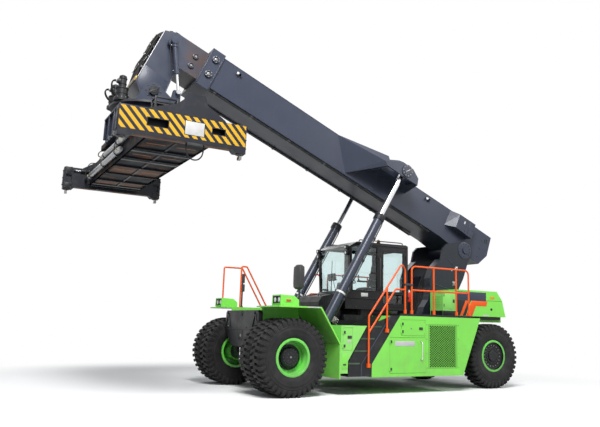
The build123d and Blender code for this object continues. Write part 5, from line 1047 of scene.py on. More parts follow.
for side_name, side in WHEEL_SIDES:
    body = f"lift_tube_{side_name}"
    tube = Shape()
    centre = on_lift(side, 0)
    # Gland at the tube's end, weld ring at its foot, clamp bands
    tube.turned("black", [(3.162, 0.118), (3.162, 0.1385), (3.17, 0.1415), (3.29, 0.1415), (3.3, 0.138),
        (3.3105, 0.12), (3.3105, 0.078), (3.29, 0.078), (3.29, 0.118)], centre, LIFT_LINE, 56)
    tube.turned("slate", [(0.186, 0.108), (0.186, 0.122), (0.196, 0.126), (0.25, 0.126), (0.262, 0.1165),
        (0.262, 0.108)], centre, LIFT_LINE, 56)
    for band, finish in ((1.02, "white_paint"), (2.02, "steel_dark")):
        tube.turned(finish, [(band, 0.1145), (band, 0.1185), (band + 0.045, 0.1185), (band + 0.045, 0.1145)],
            centre, LIFT_LINE, 48)
    tube.bolt_ring("steel_dark", on_lift(side, 3.3105), LIFT_LINE, 0.106, 12, 0.01, 0.009)
    # Pipe up the rear, from the valve block to the gland's port
    tube.hose("steel_dark", [on_lift(side, 0.46, 0.13), on_lift(side, 0.5, 0.152), on_lift(side, 0.7, 0.154),
        on_lift(side, 2.2, 0.154), on_lift(side, 3.02, 0.154), on_lift(side, 3.16, 0.15),
        on_lift(side, 3.2, 0.12)], 0.014, 3)
    for clamp in (0.95, 1.06, 2.045, 2.7):
        tube.box("steel_dark", (-0.03, -0.03, -0.022), (0.045, 0.03, 0.022), 0.004,
            Matrix.Translation(on_lift(side, clamp, 0.128))
            @ LIFT_SQUARE.to_track_quat("X", "Y").to_matrix().to_4x4())
    # Valve block near the foot, with its fittings and hose
    block_turn = turn_to(LIFT_LINE)
    tube.box("steel", (-0.055, -0.06, -0.08), (0.055, 0.06, 0.08), 0.006,
        Matrix.Translation(on_lift(side, 0.4, 0.152)) @ block_turn)
    for along, out, length in ((0.35, 0.03, 0.05), (0.42, -0.03, 0.07), (0.46, 0.035, 0.04)):
        start = on_lift(side, along, 0.2, out)
        tube.hexagon("chrome", start, start + LIFT_SQUARE * length, 0.019)
        tube.bar("chrome", start + LIFT_SQUARE * length, start + LIFT_SQUARE * (length + 0.02), 0.014,
            sides=16, edge=0.002)
    for along in (0.36, 0.42):
        start = on_lift(side, along, 0.15, 0.055)
        tube.hexagon("chrome", start, start + Vector((0, side * 0.045, 0)), 0.018)
    tube.hose("rubber", [on_lift(side, 0.36, 0.15, 0.1), on_lift(side, 0.36, 0.15, 0.14),
        on_lift(side, 0.26, 0.16, 0.15), on_lift(side, 0.14, 0.12, 0.13), on_lift(side, 0.1, 0.08, 0.08)],
        0.015, 3)
    tube.finish(f"lift_tube_fittings_{side_name}", body, "cylinder_paint")

    rod = Shape()
    for end in (-1, 1):
        face_y = side * LIFT_Y + end * 0.0555
        rod.turned("steel_dark", [(0, 0.062), (0, 0.112), (end * 0.006, 0.11), (end * 0.008, 0.066)],
            LIFT_TOP + Vector((0, face_y, 0)), "Y", 40)
    rod.finish(f"lift_rod_eye_{side_name}", f"lift_rod_{side_name}", "rod_chrome")


# ---------------------------------------------------------------- boom
def boom_box(shape, finish, low, high, edge=0.004):
    """Block square to the boom, between two corners (s, y, n)."""
    low, high = Vector(low), Vector(high)
    middle = (low + high) / 2
    half = (high - low) / 2
    shape.box(finish, -half, half, edge, Matrix.Translation(on_boom(*middle)) @ BOOM_TURN)


BOOM_SIDE = 0.505
outer = Shape()
for side in (1, -1):
    out = Vector((0, side, 0))
    # Collar: edge ribs, bolted round covers with bright screws in the middle
    for rib_s in (8.245, 8.555):
        boom_box(outer, "slate", (rib_s - 0.012, side * 0.5495, -0.03), (rib_s + 0.012, side * 0.562, 0.94))
    for cover_n in (0.292, 0.714):
        spot = on_boom(8.4, side * 0.58, cover_n)
        outer.turned("slate", [(0, 0.06), (0, 0.088), (0.012, 0.088), (0.016, 0.08), (0.016, 0.06)],
            spot, out, 48)
        outer.bolt_ring("steel", spot + out * 0.004, out, 0.073, 6, 0.012, 0.018, 0.3)
        outer.turned("steel", [(0, 0), (0, 0.036), (0.01, 0.036), (0.014, 0.026), (0.014, 0)], spot, out, 32)
        outer.bolt_ring("steel_dark", spot + out * 0.012, out, 0.02, 3, 0.007, 0.006)
    # Wing's cheek: cap over the cylinder's pin, with a ring of bolts and a keeper
    cap = on_boom(LIFT_EYE[0], side * 1.2632, LIFT_EYE[1])
    outer.turned("slate", [(0, 0), (0, 0.16), (0.006, 0.158), (0.008, 0.105), (0.018, 0.1), (0.018, 0)],
        cap, out, 56)
    outer.bolt_ring("steel", cap + out * 0.006, out, 0.133, 10, 0.013, 0.012)
    outer.box("steel", (-0.075, -0.004, -0.016), (0.075, 0.004, 0.016), 0.002,
        turned_at(cap + out * 0.022, 0.5, "Y"))
    # Weld beads along the side plate
    for bead_n in (0.055, 0.895):
        start, end = on_boom(0.95, side * BOOM_SIDE, bead_n), on_boom(8.22, side * BOOM_SIDE, bead_n)
        outer.bar("slate", start, end, 0.0055, sides=8)
    # Bracket with a pale lamp near the top edge, and a second one by the tail
    for spot_s, spot_n in ((7.79, 0.775), (1.62, 0.8)):
        boom_box(outer, "slate", (spot_s - 0.1, side * 0.5045, spot_n - 0.012),
            (spot_s + 0.03, side * 0.575, spot_n + 0.004))
        boom_box(outer, "slate", (spot_s - 0.1, side * 0.5045, spot_n - 0.07),
            (spot_s - 0.088, side * 0.575, spot_n + 0.004))
        outer.bar("white_paint", on_boom(spot_s, side * 0.56, spot_n - 0.01),
            on_boom(spot_s, side * 0.56, spot_n - 0.062), 0.036, 0.03, 24, 0.004)
    # Flare over the tower: stiffener between bolts, and a blank mark
    boom_box(outer, "slate", (0.1, side * 0.7345, 0.45), (0.145, side * 0.742, 0.82))
    for spot_s in (-0.02, 0.235):
        for spot_n in (0.48, 0.62, 0.78):
            outer.bolt("steel_dark", on_boom(spot_s, side * 0.735, spot_n), out, 0.013, 0.012)
    boom_box(outer, "white_paint", (0.29, side * 0.735, 0.66), (0.33, side * 0.739, 0.74), 0.002)
    # Tail: side lifting eye and end plate's bolts
    for spot_n in (0.15, 0.4, 0.65):
        outer.bolt("steel_dark", on_boom(-0.62, side * BOOM_SIDE, spot_n), out, 0.014, 0.012)
    outer.turned("steel_dark", [(0, 0.034), (0, 0.058), (0.014, 0.055), (0.014, 0.034)],
        on_boom(-0.76, side * BOOM_SIDE, 0.7), out, 32)
    # Pipes under the lower edge, clamped, running back to the tower
    for lane, pipe_y in enumerate((0.455, 0.405)):
        drop = 0.022 - lane * 0.004
        outer.hose("steel_dark", [on_boom(8.18, side * pipe_y, drop), on_boom(6.0, side * pipe_y, drop),
            on_boom(3.0, side * pipe_y, drop), on_boom(1.3, side * pipe_y, drop - 0.01),
            on_boom(1.15, side * pipe_y, drop - 0.02)], 0.015, 3)
    for clamp_s in (1.5, 2.6, 3.7, 4.8, 5.9, 7.0, 8.05):
        boom_box(outer, "steel_dark", (clamp_s - 0.03, side * 0.375, 0),
            (clamp_s + 0.03, side * 0.485, 0.041), 0.004)
    # Bolts of the collar's top lugs
    for lug_s in (8.33, 8.47):
        outer.bolt("steel_dark", on_boom(lug_s, side * 0.4, 0.955), BOOM_UP, 0.014, 0.012)
# Hose tray along the roof, with its cross straps
for tray_y in (-0.135, 0.135):
    boom_box(outer, "slate", (0.7, tray_y - 0.005, 0.909), (8.15, tray_y + 0.005, 0.955), 0.002)
boom_box(outer, "black", (0.7, -0.132, 0.909), (8.15, 0.132, 0.914), 0)
for number in range(7):
    lane_y = -0.105 + number * 0.035
    outer.hose("rubber", [on_boom(0.72, lane_y, 0.925), on_boom(3.0, lane_y, 0.93 + 0.004 * (number % 2)),
        on_boom(5.5, lane_y, 0.928), on_boom(8.13, lane_y, 0.925)], 0.013, 2)
for number in range(9):
    strap_s = 0.95 + number * 0.87
    boom_box(outer, "slate", (strap_s - 0.02, -0.15, 0.944), (strap_s + 0.02, 0.15, 0.951), 0.002)
outer.finish("boom_fittings", "boom_outer", "dark_paint")

# ---------------------------------------------------------------- inner boom and head
# Pins across the head, as places along the boom and above its line
DAMPER_PIN = (9.42, 0.51)
TILT_PIN = (9.263, -0.766)
inner = Shape()
for side in (1, -1):
    out = Vector((0, side, 0))
    for cover_n in (0.3, 0.56):
        spot = on_boom(8.82, side * 0.442, cover_n)
        inner.turned("slate", [(0, 0.045), (0, 0.071), (0.01, 0.071), (0.014, 0.062), (0.014, 0.045)],
            spot, out, 44)
        inner.bolt_ring("steel_dark", spot + out * 0.004, out, 0.058, 6, 0.01, 0.015)
        inner.turned("steel", [(0, 0), (0, 0.024), (0.01, 0.022), (0.01, 0)], spot, out, 24)
    # Damper's upper boss: flange ring with bolts
    boss = on_boom(DAMPER_PIN[0], side * 0.5402, DAMPER_PIN[1])
    inner.turned("slate", [(-0.03, 0.1101), (-0.03, 0.126), (-0.004, 0.126), (0.002, 0.118), (0.002, 0.06),
        (-0.03, 0.06)], boss, out, 48)
    cap = on_boom(DAMPER_PIN[0], side * 0.6602, DAMPER_PIN[1])
    inner.turned("steel_dark", [(0, 0), (0, 0.046), (0.008, 0.044), (0.01, 0)], cap, out, 32)
    # Head's side plate: outline bead, patch plate and tilt pin's cap
    for start, end in (((9.02, 0.1), (9.06, -0.14)), ((9.06, -0.14), (9.02, -0.62)),
            ((9.02, -0.62), (9.14, -0.94))):
        inner.bar("slate", on_boom(start[0], side * 0.4205, start[1]),
            on_boom(end[0], side * 0.4205, end[1]), 0.006, sides=8)
    inner.plate("slate", [(9.07, -0.36), (9.69, -0.3), (9.68, -0.7), (9.46, -0.93), (9.16, -0.93),
        (9.05, -0.62)], side * 0.008, 0.002, Matrix.Translation(on_boom(0, side * 0.4195, 0)) @ BOOM_TURN)
    pin = on_boom(TILT_PIN[0], side * 0.5302, TILT_PIN[1])
    inner.turned("black", [(0, 0), (0, 0.105), (0.008, 0.1), (0.01, 0.055), (0.016, 0.05), (0.016, 0)],
        pin, out, 40)
    for turn in (0.8, 0.8 + math.pi * 2 / 3, 0.8 + math.pi * 4 / 3):
        inner.bolt("steel_dark", pin + Vector((0.048 * math.cos(turn), side * 0.007, 0.048 * math.sin(turn))),
            out, 0.012, 0.012)
    inner.box("black", (-0.13, -0.004, -0.02), (0.13, 0.004, 0.02), 0.003,
        turned_at(pin + out * 0.014, 0.55, "Y"))

    # Strip along the head's front edge, white as a painted highlight on the lit face of the plate's front
    # flange
    boom_box(inner, "white_paint", (9.68, side * 0.35, -0.62), (9.707, side * 0.418, 0.665), 0.002)

# Hose bundle down the head's front, its clamps and bright fittings
HOSE_LANES = (-0.24, -0.19, -0.14, -0.09, -0.02, 0.05, 0.12, 0.17, 0.22, 0.27)
for number, lane_y in enumerate(HOSE_LANES):
    sway = 0.02 * math.sin(number * 2.1)
    lift = 0.018 * (number % 3)
    inner.hose("rubber", [on_boom(9.1, lane_y * 0.8, 0.86), on_boom(9.3, lane_y * 0.9, 0.9 + lift),
        on_boom(9.52, lane_y, 0.87 + lift), on_boom(9.72 + lift, lane_y + sway, 0.7),
        on_boom(9.78 + lift, lane_y, 0.42), on_boom(9.745 + lift, lane_y - sway, 0.1),
        on_boom(9.79 + lift, lane_y + sway, -0.2), on_boom(9.745, lane_y * 1.1, -0.48),
        on_boom(9.72, lane_y * 1.2, -0.62)], 0.017 if number % 3 else 0.021, 3)
    inner.hexagon("brass" if number % 4 == 1 else "steel", on_boom(9.722, lane_y * 1.2, -0.6),
        on_boom(9.716, lane_y * 1.2, -0.72), 0.024, 0.003)
    inner.hexagon("steel", on_boom(9.06, lane_y * 0.8, 0.853), on_boom(9.12, lane_y * 0.8, 0.861),
        0.024, 0.003)
for clamp_n in (0.56, 0.25, -0.02, -0.33):
    boom_box(inner, "steel_dark", (9.695, -0.29, clamp_n - 0.02), (9.735, 0.31, clamp_n + 0.02), 0.004)
    boom_box(inner, "steel", (9.8, -0.28, clamp_n - 0.017), (9.812, 0.3, clamp_n + 0.017), 0.003)
    for bolt_y in (-0.275, 0.01, 0.295):
        inner.bolt("steel", on_boom(9.812, bolt_y, clamp_n), BOOM_AHEAD, 0.012, 0.012)
# Manifold with its ports, pressed against the head's slope
boom_box(inner, "steel", (9.5, -0.3, 0.745), (9.62, 0.3, 0.815), 0.008)
for number in range(6):
    inner.hexagon("brass" if number % 2 else "steel", on_boom(9.555, -0.24 + number * 0.096, 0.812),
        on_boom(9.565, -0.24 + number * 0.096, 0.862), 0.02, 0.003)
boom_box(inner, "white_paint", (9.46, 0.335, 0.735), (9.53, 0.415, 0.815), 0.006)
boom_box(inner, "black", (8.75, -0.3, 0.845), (9.0, 0.3, 0.885), 0.01)
inner.finish("head_fittings", "boom_inner", "dark_paint")

# ---------------------------------------------------------------- dampers
DAMPER_TOP = on_boom(DAMPER_PIN[0], 0, DAMPER_PIN[1])
DAMPER_LINE = Vector((-0.141705, 0, -0.989909))
dampers = Shape()
for side in (1, -1):
    centre = DAMPER_TOP + Vector((0, side * 0.6, 0))
    dampers.turned("slate", [(0.07, 0.0555), (0.07, 0.066), (0.15, 0.066), (0.16, 0.0555)],
        centre, DAMPER_LINE, 40)
    dampers.turned("slate", [(0.7, 0.0555), (0.7, 0.067), (0.785, 0.067), (0.7905, 0.06), (0.7905, 0.0385),
        (0.76, 0.0385), (0.76, 0.0555)], centre, DAMPER_LINE, 40)
    dampers.turned("slate", [(0, 0), (0, 0.088), (0.03, 0.088), (0.036, 0.08), (0.038, 0)],
        centre + Vector((0, side * 0.04, 0)), (0, side, 0), 44)
    dampers.bolt_ring("steel_dark", centre + DAMPER_LINE * 0.7905, DAMPER_LINE, 0.052, 6, 0.007, 0.006)
    for along in (0.12, 0.72):
        start = centre + DAMPER_LINE * along + Vector((0.062, 0, 0))
        dampers.hexagon("steel", start, start + Vector((0.03, 0, 0.004)), 0.014)
    dampers.hose("rubber", [centre + DAMPER_LINE * 0.72 + Vector((0.092, 0, 0.004)),
        centre + DAMPER_LINE * 0.68 + Vector((0.115, 0, 0)),
        centre + DAMPER_LINE * 0.4 + Vector((0.098, 0, 0)),
        centre + DAMPER_LINE * 0.16 + Vector((0.115, 0, 0)),
        centre + DAMPER_LINE * 0.12 + Vector((0.092, 0, 0.004))], 0.01, 3)
dampers.finish("damper_fittings", "damper_tubes", "damper_paint")

# ---------------------------------------------------------------- yoke, rotator and slewing motors
RING_TOP_Z = 6.15
yoke = Shape()
middle = on_spreader(0, 0, RING_TOP_Z)
yoke.turned("slate", [(0, 0.7), (0, 0.8), (0.012, 0.8), (0.018, 0.79), (0.018, 0.7)], middle, "Z", 96)
for number in range(36):
    turn = 2 * math.pi * (number + 0.5) / 36
    spot = middle + Vector((0.745 * math.cos(turn), 0.745 * math.sin(turn), 0.018))
    if abs(spot.y) > 0.52 or spot.x > middle.x + 0.48 or spot.x < middle.x - 0.64:
        yoke.bolt("steel_dark", spot, UP, 0.017, 0.018)
yoke.turned("steel_dark", [(-0.047, 0.8105), (-0.047, 0.818), (-0.004, 0.818), (-0.004, 0.8105)], middle,
    "Z", 96)
for side in (1, -1):
    pin = on_boom(TILT_PIN[0], side * 0.4835, TILT_PIN[1])
    yoke.bolt_ring("steel_dark", pin, (0, side, 0), 0.165, 8, 0.014, 0.014)
# Grease hoses over the ring, and their divider block with its outlets
for reach in (0, 0.05, 0.1, 0.15):
    yoke.hose("rubber", [middle + Vector(step) for step in ((0.42, -0.3 + reach, 0.05),
        (0.52, -0.22 + reach, 0.22 + reach), (0.56, reach, 0.2 + reach), (0.5, 0.2 + reach, 0.1),
        (0.46, 0.26 + reach, 0.03))], 0.013, 3)
yoke.box("black", middle + Vector((0.3, -0.18, 0)), middle + Vector((0.46, 0.18, 0.11)), 0.012)
for number in range(5):
    spot = middle + Vector((0.38, -0.14 + number * 0.07, 0.108))
    yoke.hexagon("brass", spot, spot + UP * 0.03, 0.014)
yoke.finish("yoke_fittings", "yoke", "dark_paint")

motors = Shape()
for side in (1, -1):
    base = at(3.59, side * 0.35, RING_TOP_Z)
    motors.bolt_ring("steel", base + UP * 0.06, UP, 0.142, 10, 0.012, 0.014)
    for low, high, radius in ((0.15, 0.172, 0.134), (0.27, 0.3005, 0.137), (0.38, 0.398, 0.089),
            (0.5, 0.525, 0.09)):
        motors.turned("black", [(low, radius - 0.03), (low, radius), (low + 0.004, radius + 0.003),
            (high - 0.004, radius + 0.003), (high, radius), (high, radius - 0.03)], base, "Z", 48)
    motors.bolt_ring("steel_dark", base + UP * 0.3005, UP, 0.112, 8, 0.01, 0.01)
    motors.turned("black", [(0.56, 0), (0.56, 0.078), (0.575, 0.074), (0.585, 0.03), (0.6, 0.028), (0.6, 0)],
        base, "Z", 40)
    motors.bolt_ring("steel", base + UP * 0.565, UP, 0.058, 4, 0.009, 0.016)
    motors.box("black", base + Vector((-0.05, -0.06, 0.41)), base + Vector((0.125, 0.06, 0.49)), 0.01)
    for lane in (-0.03, 0.03):
        start = base + Vector((0.122, lane, 0.45))
        motors.hexagon("steel", start, start + Vector((0.03, 0, 0)), 0.018)
        motors.hose("rubber", [start + Vector(step) for step in ((0.028, 0, 0), (0.09, 0, 0),
            (0.11, -side * 0.02, -0.11), (0.05, -side * 0.1, -0.26), (-0.08, -side * 0.17, -0.36),
            (-0.16, -side * 0.2, -0.4))], 0.014, 3)
motors.finish("slew_motor_fittings", "yoke", "motor_paint")


# ---------------------------------------------------------------- counterweight, rear lockers and tower
WEIGHT_SIDE = 1.5
rear = Shape()
for side in (1, -1):
    face = Matrix.Translation(at(0, side * WEIGHT_SIDE, 0))
    thick = side * 0.0022
    # Slate band under the top edge, black panel, two slanted orange stripes, left without words
    rear.plate("slate", [(-4.876, 2.184), (-4.876, 2.405), (-5.878, 2.405), (-5.87, 2.184)], thick,
        0.0006, face)
    rear.plate("black", [(-4.876, 1.795), (-4.876, 2.186), (-5.348, 2.186), (-5.165, 1.795)],
        thick * 0.5, 0.0003, face)
    rear.plate("orange", [(-4.965, 1.795), (-5.169, 2.183), (-5.266, 2.183), (-5.06, 1.795)], thick,
        0.0006, face)
    rear.plate("orange", [(-5.168, 1.795), (-5.369, 2.183), (-5.917, 2.183), (-5.88, 2.05), (-5.52, 2.05),
        (-5.385, 1.795)], thick, 0.0006, face)
    rear.plate("yellow", [(-6.01, 2.245), (-6.01, 2.315), (-6.17, 2.315), (-6.17, 2.245)], thick,
        0.0006, face)
    rear.plate("plate", [(-5.76, 1.8), (-5.76, 1.835), (-5.96, 1.835), (-5.96, 1.8)], thick, 0.0006, face)
    # Casting seam, side socket, and a black block over the lower lip: painted shade under the counterweight's
    # overhang
    rear.bar("weight_seam", at(-4.9, side * WEIGHT_SIDE, 2.2), at(-6.43, side * WEIGHT_SIDE, 2.2),
        0.004, sides=8)
    rear.turned("black", [(0, 0), (0, 0.036), (0.006, 0.036), (0.01, 0.03), (0.01, 0)],
        at(-6.05, side * WEIGHT_SIDE, 1.98), (0, side, 0), 32)
    rear.box("black", at(-6.4, side * 1.4, 1.71), at(-5.35, side * 1.455, 1.792), 0.006)
for socket_x, socket_y in ((-5.05, 1.15), (-5.05, -1.15), (-6.12, 0.75), (-6.12, -0.75)):
    rear.turned("black", [(0, 0.03), (0, 0.06), (0.01, 0.056), (0.012, 0.034)],
        at(socket_x, socket_y, 2.45), "Z", 32)
    rear.bar("steel_dark", at(socket_x, socket_y, 2.449), at(socket_x, socket_y, 2.454), 0.031, sides=20)
# Rear face: tail lamps in their housings, and the tow jaw between its ears
for side in (1, -1):
    for low, high, finish in ((1.12, 1.24, "marker_red"), (1.245, 1.325, "marker_amber"),
            (1.33, 1.4, "white_paint")):
        rear.box(finish, at(-6.548, side * low, 1.9), at(-6.515, side * high, 1.98), 0.006)
    rear.box("black", at(-6.54, side * 1.105, 1.885), at(-6.5, side * 1.415, 1.995), 0.008)
rear.box("black", at(-6.552, -0.24, 1.8), at(-6.49, 0.24, 1.97), 0.012)
for ear_y in (-0.12, 0.12):
    rear.box("black", at(-6.555, ear_y - 0.02, 1.81), at(-6.52, ear_y + 0.02, 1.96), 0.006)
for bolt_y in (-0.2, 0.2):
    for bolt_z in (1.83, 1.94):
        rear.bolt("steel_dark", at(-6.5525, bolt_y, bolt_z), (-1, 0, 0), 0.015, 0.004)
# Lockers by the tower: black foot, door seam, latch and hinges
for side in (1, -1):
    rear.box("black", at(-4.852, side * 1.4995, 1.782), at(-4.418, side * 1.506, 1.905), 0.003)
    rear.box("lime_locker", at(-4.815, side * 1.4995, 1.945), at(-4.455, side * 1.506, 2.35), 0.003)
    rear.box("plastic", at(-4.795, side * 1.505, 2.11), at(-4.735, side * 1.516, 2.19), 0.005)
    for hinge_z in (2.0, 2.26):
        rear.bar("plastic", at(-4.452, side * 1.508, hinge_z), at(-4.452, side * 1.508, hinge_z + 0.07),
            0.009, sides=16, edge=0.001)
    rear.box("black", at(-4.425, side * 1.02, 1.785), at(-4.416, side * 1.49, 1.905), 0.003)
    for louvre in range(7):
        louvre_z = 2.02 + louvre * 0.04
        rear.box("lime_locker", at(-4.421, side * 1.1, louvre_z),
            at(-4.412, side * 1.4, louvre_z + 0.018), 0.003)
rear.finish("counterweight_trim", "chassis", "weight_green")

tower = Shape()
for side in (1, -1):
    out = Vector((0, side, 0))
    face_y = side * 0.6802
    pivot = at(BOOM_PIVOT[0], face_y, BOOM_PIVOT[1])
    tower.turned("slate", [(0, 0.092), (0, 0.235), (0.014, 0.232), (0.018, 0.214), (0.018, 0.092)],
        pivot, out, 64)
    tower.bolt_ring("steel_dark", pivot + out * 0.017, out, 0.18, 12, 0.015, 0.014)
    tower.turned("steel", [(0.02, 0), (0.02, 0.088), (0.026, 0.086), (0.028, 0)], pivot, out, 40)
    tower.box("white_paint", at(-5.625, face_y, 3.02), at(-5.54, face_y + side * 0.006, 3.12), 0.002)
    tower.turned("white_paint", [(0, 0), (0, 0.026), (0.005, 0.026), (0.005, 0)],
        at(-5.42, face_y, 3.02), out, 24)
    for spot in ((-5.55, 2.66), (-5.5, 2.6), (-5.45, 2.66), (-5.5, 2.72)):
        tower.bolt("steel_dark", at(spot[0], face_y, spot[1]), out, 0.014, 0.012)
    tower.box("steel", at(-5.56, face_y, 2.6), at(-5.44, face_y + side * 0.006, 2.72), 0.003)
    # Ribs welded to the plate's face
    for start, end in (((-5.75, 2.95), (-5.3, 3.3)), ((-5.55, 2.45), (-4.78, 2.62))):
        tower.bar("slate", at(start[0], face_y, start[1]), at(end[0], face_y, end[1]), 0.012, sides=10)
# Hoses from the frame up to the boom, inside the tower
for number in range(6):
    lane_y = -0.22 + number * 0.088
    tower.hose("rubber", [at(-4.55, lane_y, 1.7), at(-4.72, lane_y, 2.05), at(-4.95, lane_y, 2.45),
        at(-5.12, lane_y * 1.1, 2.85), at(-5.35, lane_y, 3.12), at(-5.62, lane_y, 3.22)], 0.02, 3)
    tower.hexagon("steel", at(-4.56, lane_y, 1.655), at(-4.555, lane_y, 1.72), 0.027, 0.003)
tower.box("steel_dark", at(-4.99, -0.26, 2.42), at(-4.9, 0.26, 2.47), 0.006)
tower.box("black", at(-4.62, -0.3, 1.655), at(-4.4, 0.3, 1.675), 0.004)
tower.finish("tower_fittings", "chassis", "dark_paint")


# ---------------------------------------------------------------- cab
def window_rubber(shape, side, corners, radius):
    """Rubber round an opening in the cab's side wall, given its corners (x, z)."""
    for start, end in zip(corners, corners[1:] + corners[:1]):
        start, end = (at(x, side * 0.7815, z) for x, z in (start, end))
        shape.bar("rubber", start, end, radius, sides=10)


cab = Shape()
# Window rubbers, rain gutters, grab handles, roof rack, beacon and work lamps
WINDOW = [(-2.912, 2.328), (-2.188, 2.328), (-2.138, 3.382), (-2.3, 3.422), (-2.912, 3.422)]
for side in (1, -1):
    window_rubber(cab, side, WINDOW, 0.011)
    cab.box("cab_black", at(-3.84, side * 0.7795, 3.47), at(-2.28, side * 0.8, 3.5), 0.004)
    # Skirt's rib under the side window, and the runner's bolts
    cab.box("cab_black", at(-2.88, side * 0.7795, 2.13), at(-2.05, side * 0.8, 2.15), 0.004)
    for bolt_x in (-2.8, -2.55, -2.3, -2.08):
        cab.bolt("steel_dark", at(bolt_x, side * 0.78, 1.935), (0, side, 0), 0.012, 0.01)
    cab.hose("plastic", [at(-2.968, side * aside, z) for aside,
        z in ((0.78, 2.35), (0.835, 2.36), (0.845, 2.5), (0.845, 3.02), (0.835, 3.16), (0.78, 3.17))],
        0.013, 3)
cab.box("plate", at(-2.64, 0.7802, 2.19), at(-2.44, 0.7825, 2.275), 0.001)
for side in (1, -1):
    rack_y = side * 0.715
    cab.hose("black", [at(-3.74, rack_y, 3.55), at(-3.74, rack_y, 3.6), at(-3.66, rack_y, 3.604),
        at(-2.48, rack_y, 3.59), at(-2.4, rack_y, 3.586), at(-2.4, rack_y, 3.535)], 0.013, 3)
for rib_x in (-3.55, -3.1, -2.62):
    cab.box("cab_black", at(rib_x - 0.03, -0.66, 3.535), at(rib_x + 0.03, 0.66, 3.556), 0.006)
beacon_foot = at(-3.02, 0.665, 3.545)
cab.turned("black", [(0, 0), (0, 0.052), (0.02, 0.052), (0.03, 0.044), (0.03, 0)], beacon_foot, "Z", 36)
cab.turned("beacon_amber", [(0.03, 0.041), (0.075, 0.038), (0.095, 0.026), (0.102, 0)], beacon_foot, "Z",
    36, closed=False)
# Work lamps in pairs at the roof's front corners
for side in (1, -1):
    for number, lamp_z in enumerate((3.375, 3.235)):
        base = at(-2.03 - number * 0.012, side * 0.7, lamp_z)
        cab.box("cab_black", (-0.045, -0.058, -0.05), (0.03, 0.058, 0.05), 0.012, Matrix.Translation(base))
        cab.turned("steel_dark", [(0.028, 0.03), (0.028, 0.048), (0.036, 0.048), (0.036, 0.04),
            (0.032, 0.03)], base, "X", 28)
        cab.turned("lamp_lens", [(0.029, 0.041), (0.034, 0.028), (0.036, 0)], base, "X", 28, closed=False)
    cab.box("cab_black", at(-2.1, side * 0.7 - 0.012, 3.17), at(-2.062, side * 0.7 + 0.012, 3.43), 0.004)
# Wiper on the windscreen, with its motor box
wiper_foot = at(-2.128, 0.1, 2.345)
lean = Vector((0.06, 0, 1.0)).normalized()
cab.bar("black", wiper_foot, wiper_foot + Vector((0.022, 0, 0)), 0.022, sides=20, edge=0.003)
cab.bar("black", wiper_foot + Vector((0.02, 0, 0)), wiper_foot + lean * 0.46 + Vector((0.02, -0.16, 0)),
    0.007, sides=10)
cab.bar("rubber", wiper_foot + lean * 0.18 + Vector((0.012, -0.2, 0)),
    wiper_foot + lean * 0.74 + Vector((0.012, -0.13, 0)), 0.007, sides=8)
cab.box("cab_black", at(-2.035, -0.55, 2.165), at(-1.985, 0.55, 2.185), 0.004)
for grab_y in (-0.42, 0.42):
    cab.bolt("steel_dark", at(-1.99, grab_y, 2.05), (1, 0, 0), 0.014, 0.01)
# Extinguisher on the rear corner
bottle = at(-3.945, 0.735, 2.1)
cab.bar("vessel_red", bottle, bottle + UP * 0.255, 0.064, sides=36, edge=0.022)
cab.bar("white_paint", bottle + UP * 0.255, bottle + UP * 0.3, 0.03, 0.024, sides=24, edge=0.004)
cab.bar("brass", bottle + UP * 0.3, bottle + UP * 0.325, 0.012, sides=12, edge=0.002)
cab.box("steel_dark", bottle + Vector((0.035, -0.066, 0.1)), bottle + Vector((0.074, 0.066, 0.13)), 0.004)
cab.finish("cab_fittings", "cab", "cab_paint")

door = Shape()
for low_z, high_z in ((2.03, 2.27), (2.33, 3.33)):
    corners = [(-3.722, low_z - 0.002), (-3.088, low_z - 0.002), (-3.088, high_z + 0.002),
        (-3.722, high_z + 0.002)]
    window_rubber(door, 1, corners, 0.01)
door.box("plastic", at(-3.15, 0.7795, 2.275), at(-3.035, 0.792, 2.325), 0.006)
door.box("plastic", at(-3.13, 0.79, 2.288), at(-3.055, 0.802, 2.312), 0.004)
door.hose("plastic", [at(-3.052, 0.78, 2.42), at(-3.052, 0.822, 2.43), at(-3.052, 0.828, 2.52),
    at(-3.052, 0.828, 2.78), at(-3.052, 0.822, 2.87), at(-3.052, 0.78, 2.88)], 0.012, 3)
for hinge_z in (2.08, 3.18):
    for bolt_z in (0.025, 0.075):
        door.bolt("steel_dark", at(-3.762, 0.786, hinge_z + bolt_z), (0, 1, 0), 0.008, 0.006)
door.finish("cab_door_fittings", "cab_door", "cab_paint")

# Slide rails: wear strips and end stops; hood's louvres, hinges and latches
rails = Shape()
for side in (1, -1):
    rails.box("steel", at(-4.3, side * 0.575, 1.7385), at(-1.97, side * 0.685, 1.7402), 0.0004)
    for stop_x in (-4.305, -1.975):
        rails.box("black", at(stop_x - 0.02, side * 0.75 - 0.03, 1.6),
            at(stop_x + 0.02, side * 0.75 + 0.03, 1.735), 0.006)
    for bolt_x in range(8):
        rails.bolt("steel_dark", at(-4.15 + bolt_x * 0.29, side * 0.7, 1.665), (0, side, 0), 0.012, 0.01)
rails.finish("cab_rail_fittings", "chassis", "black_paint")

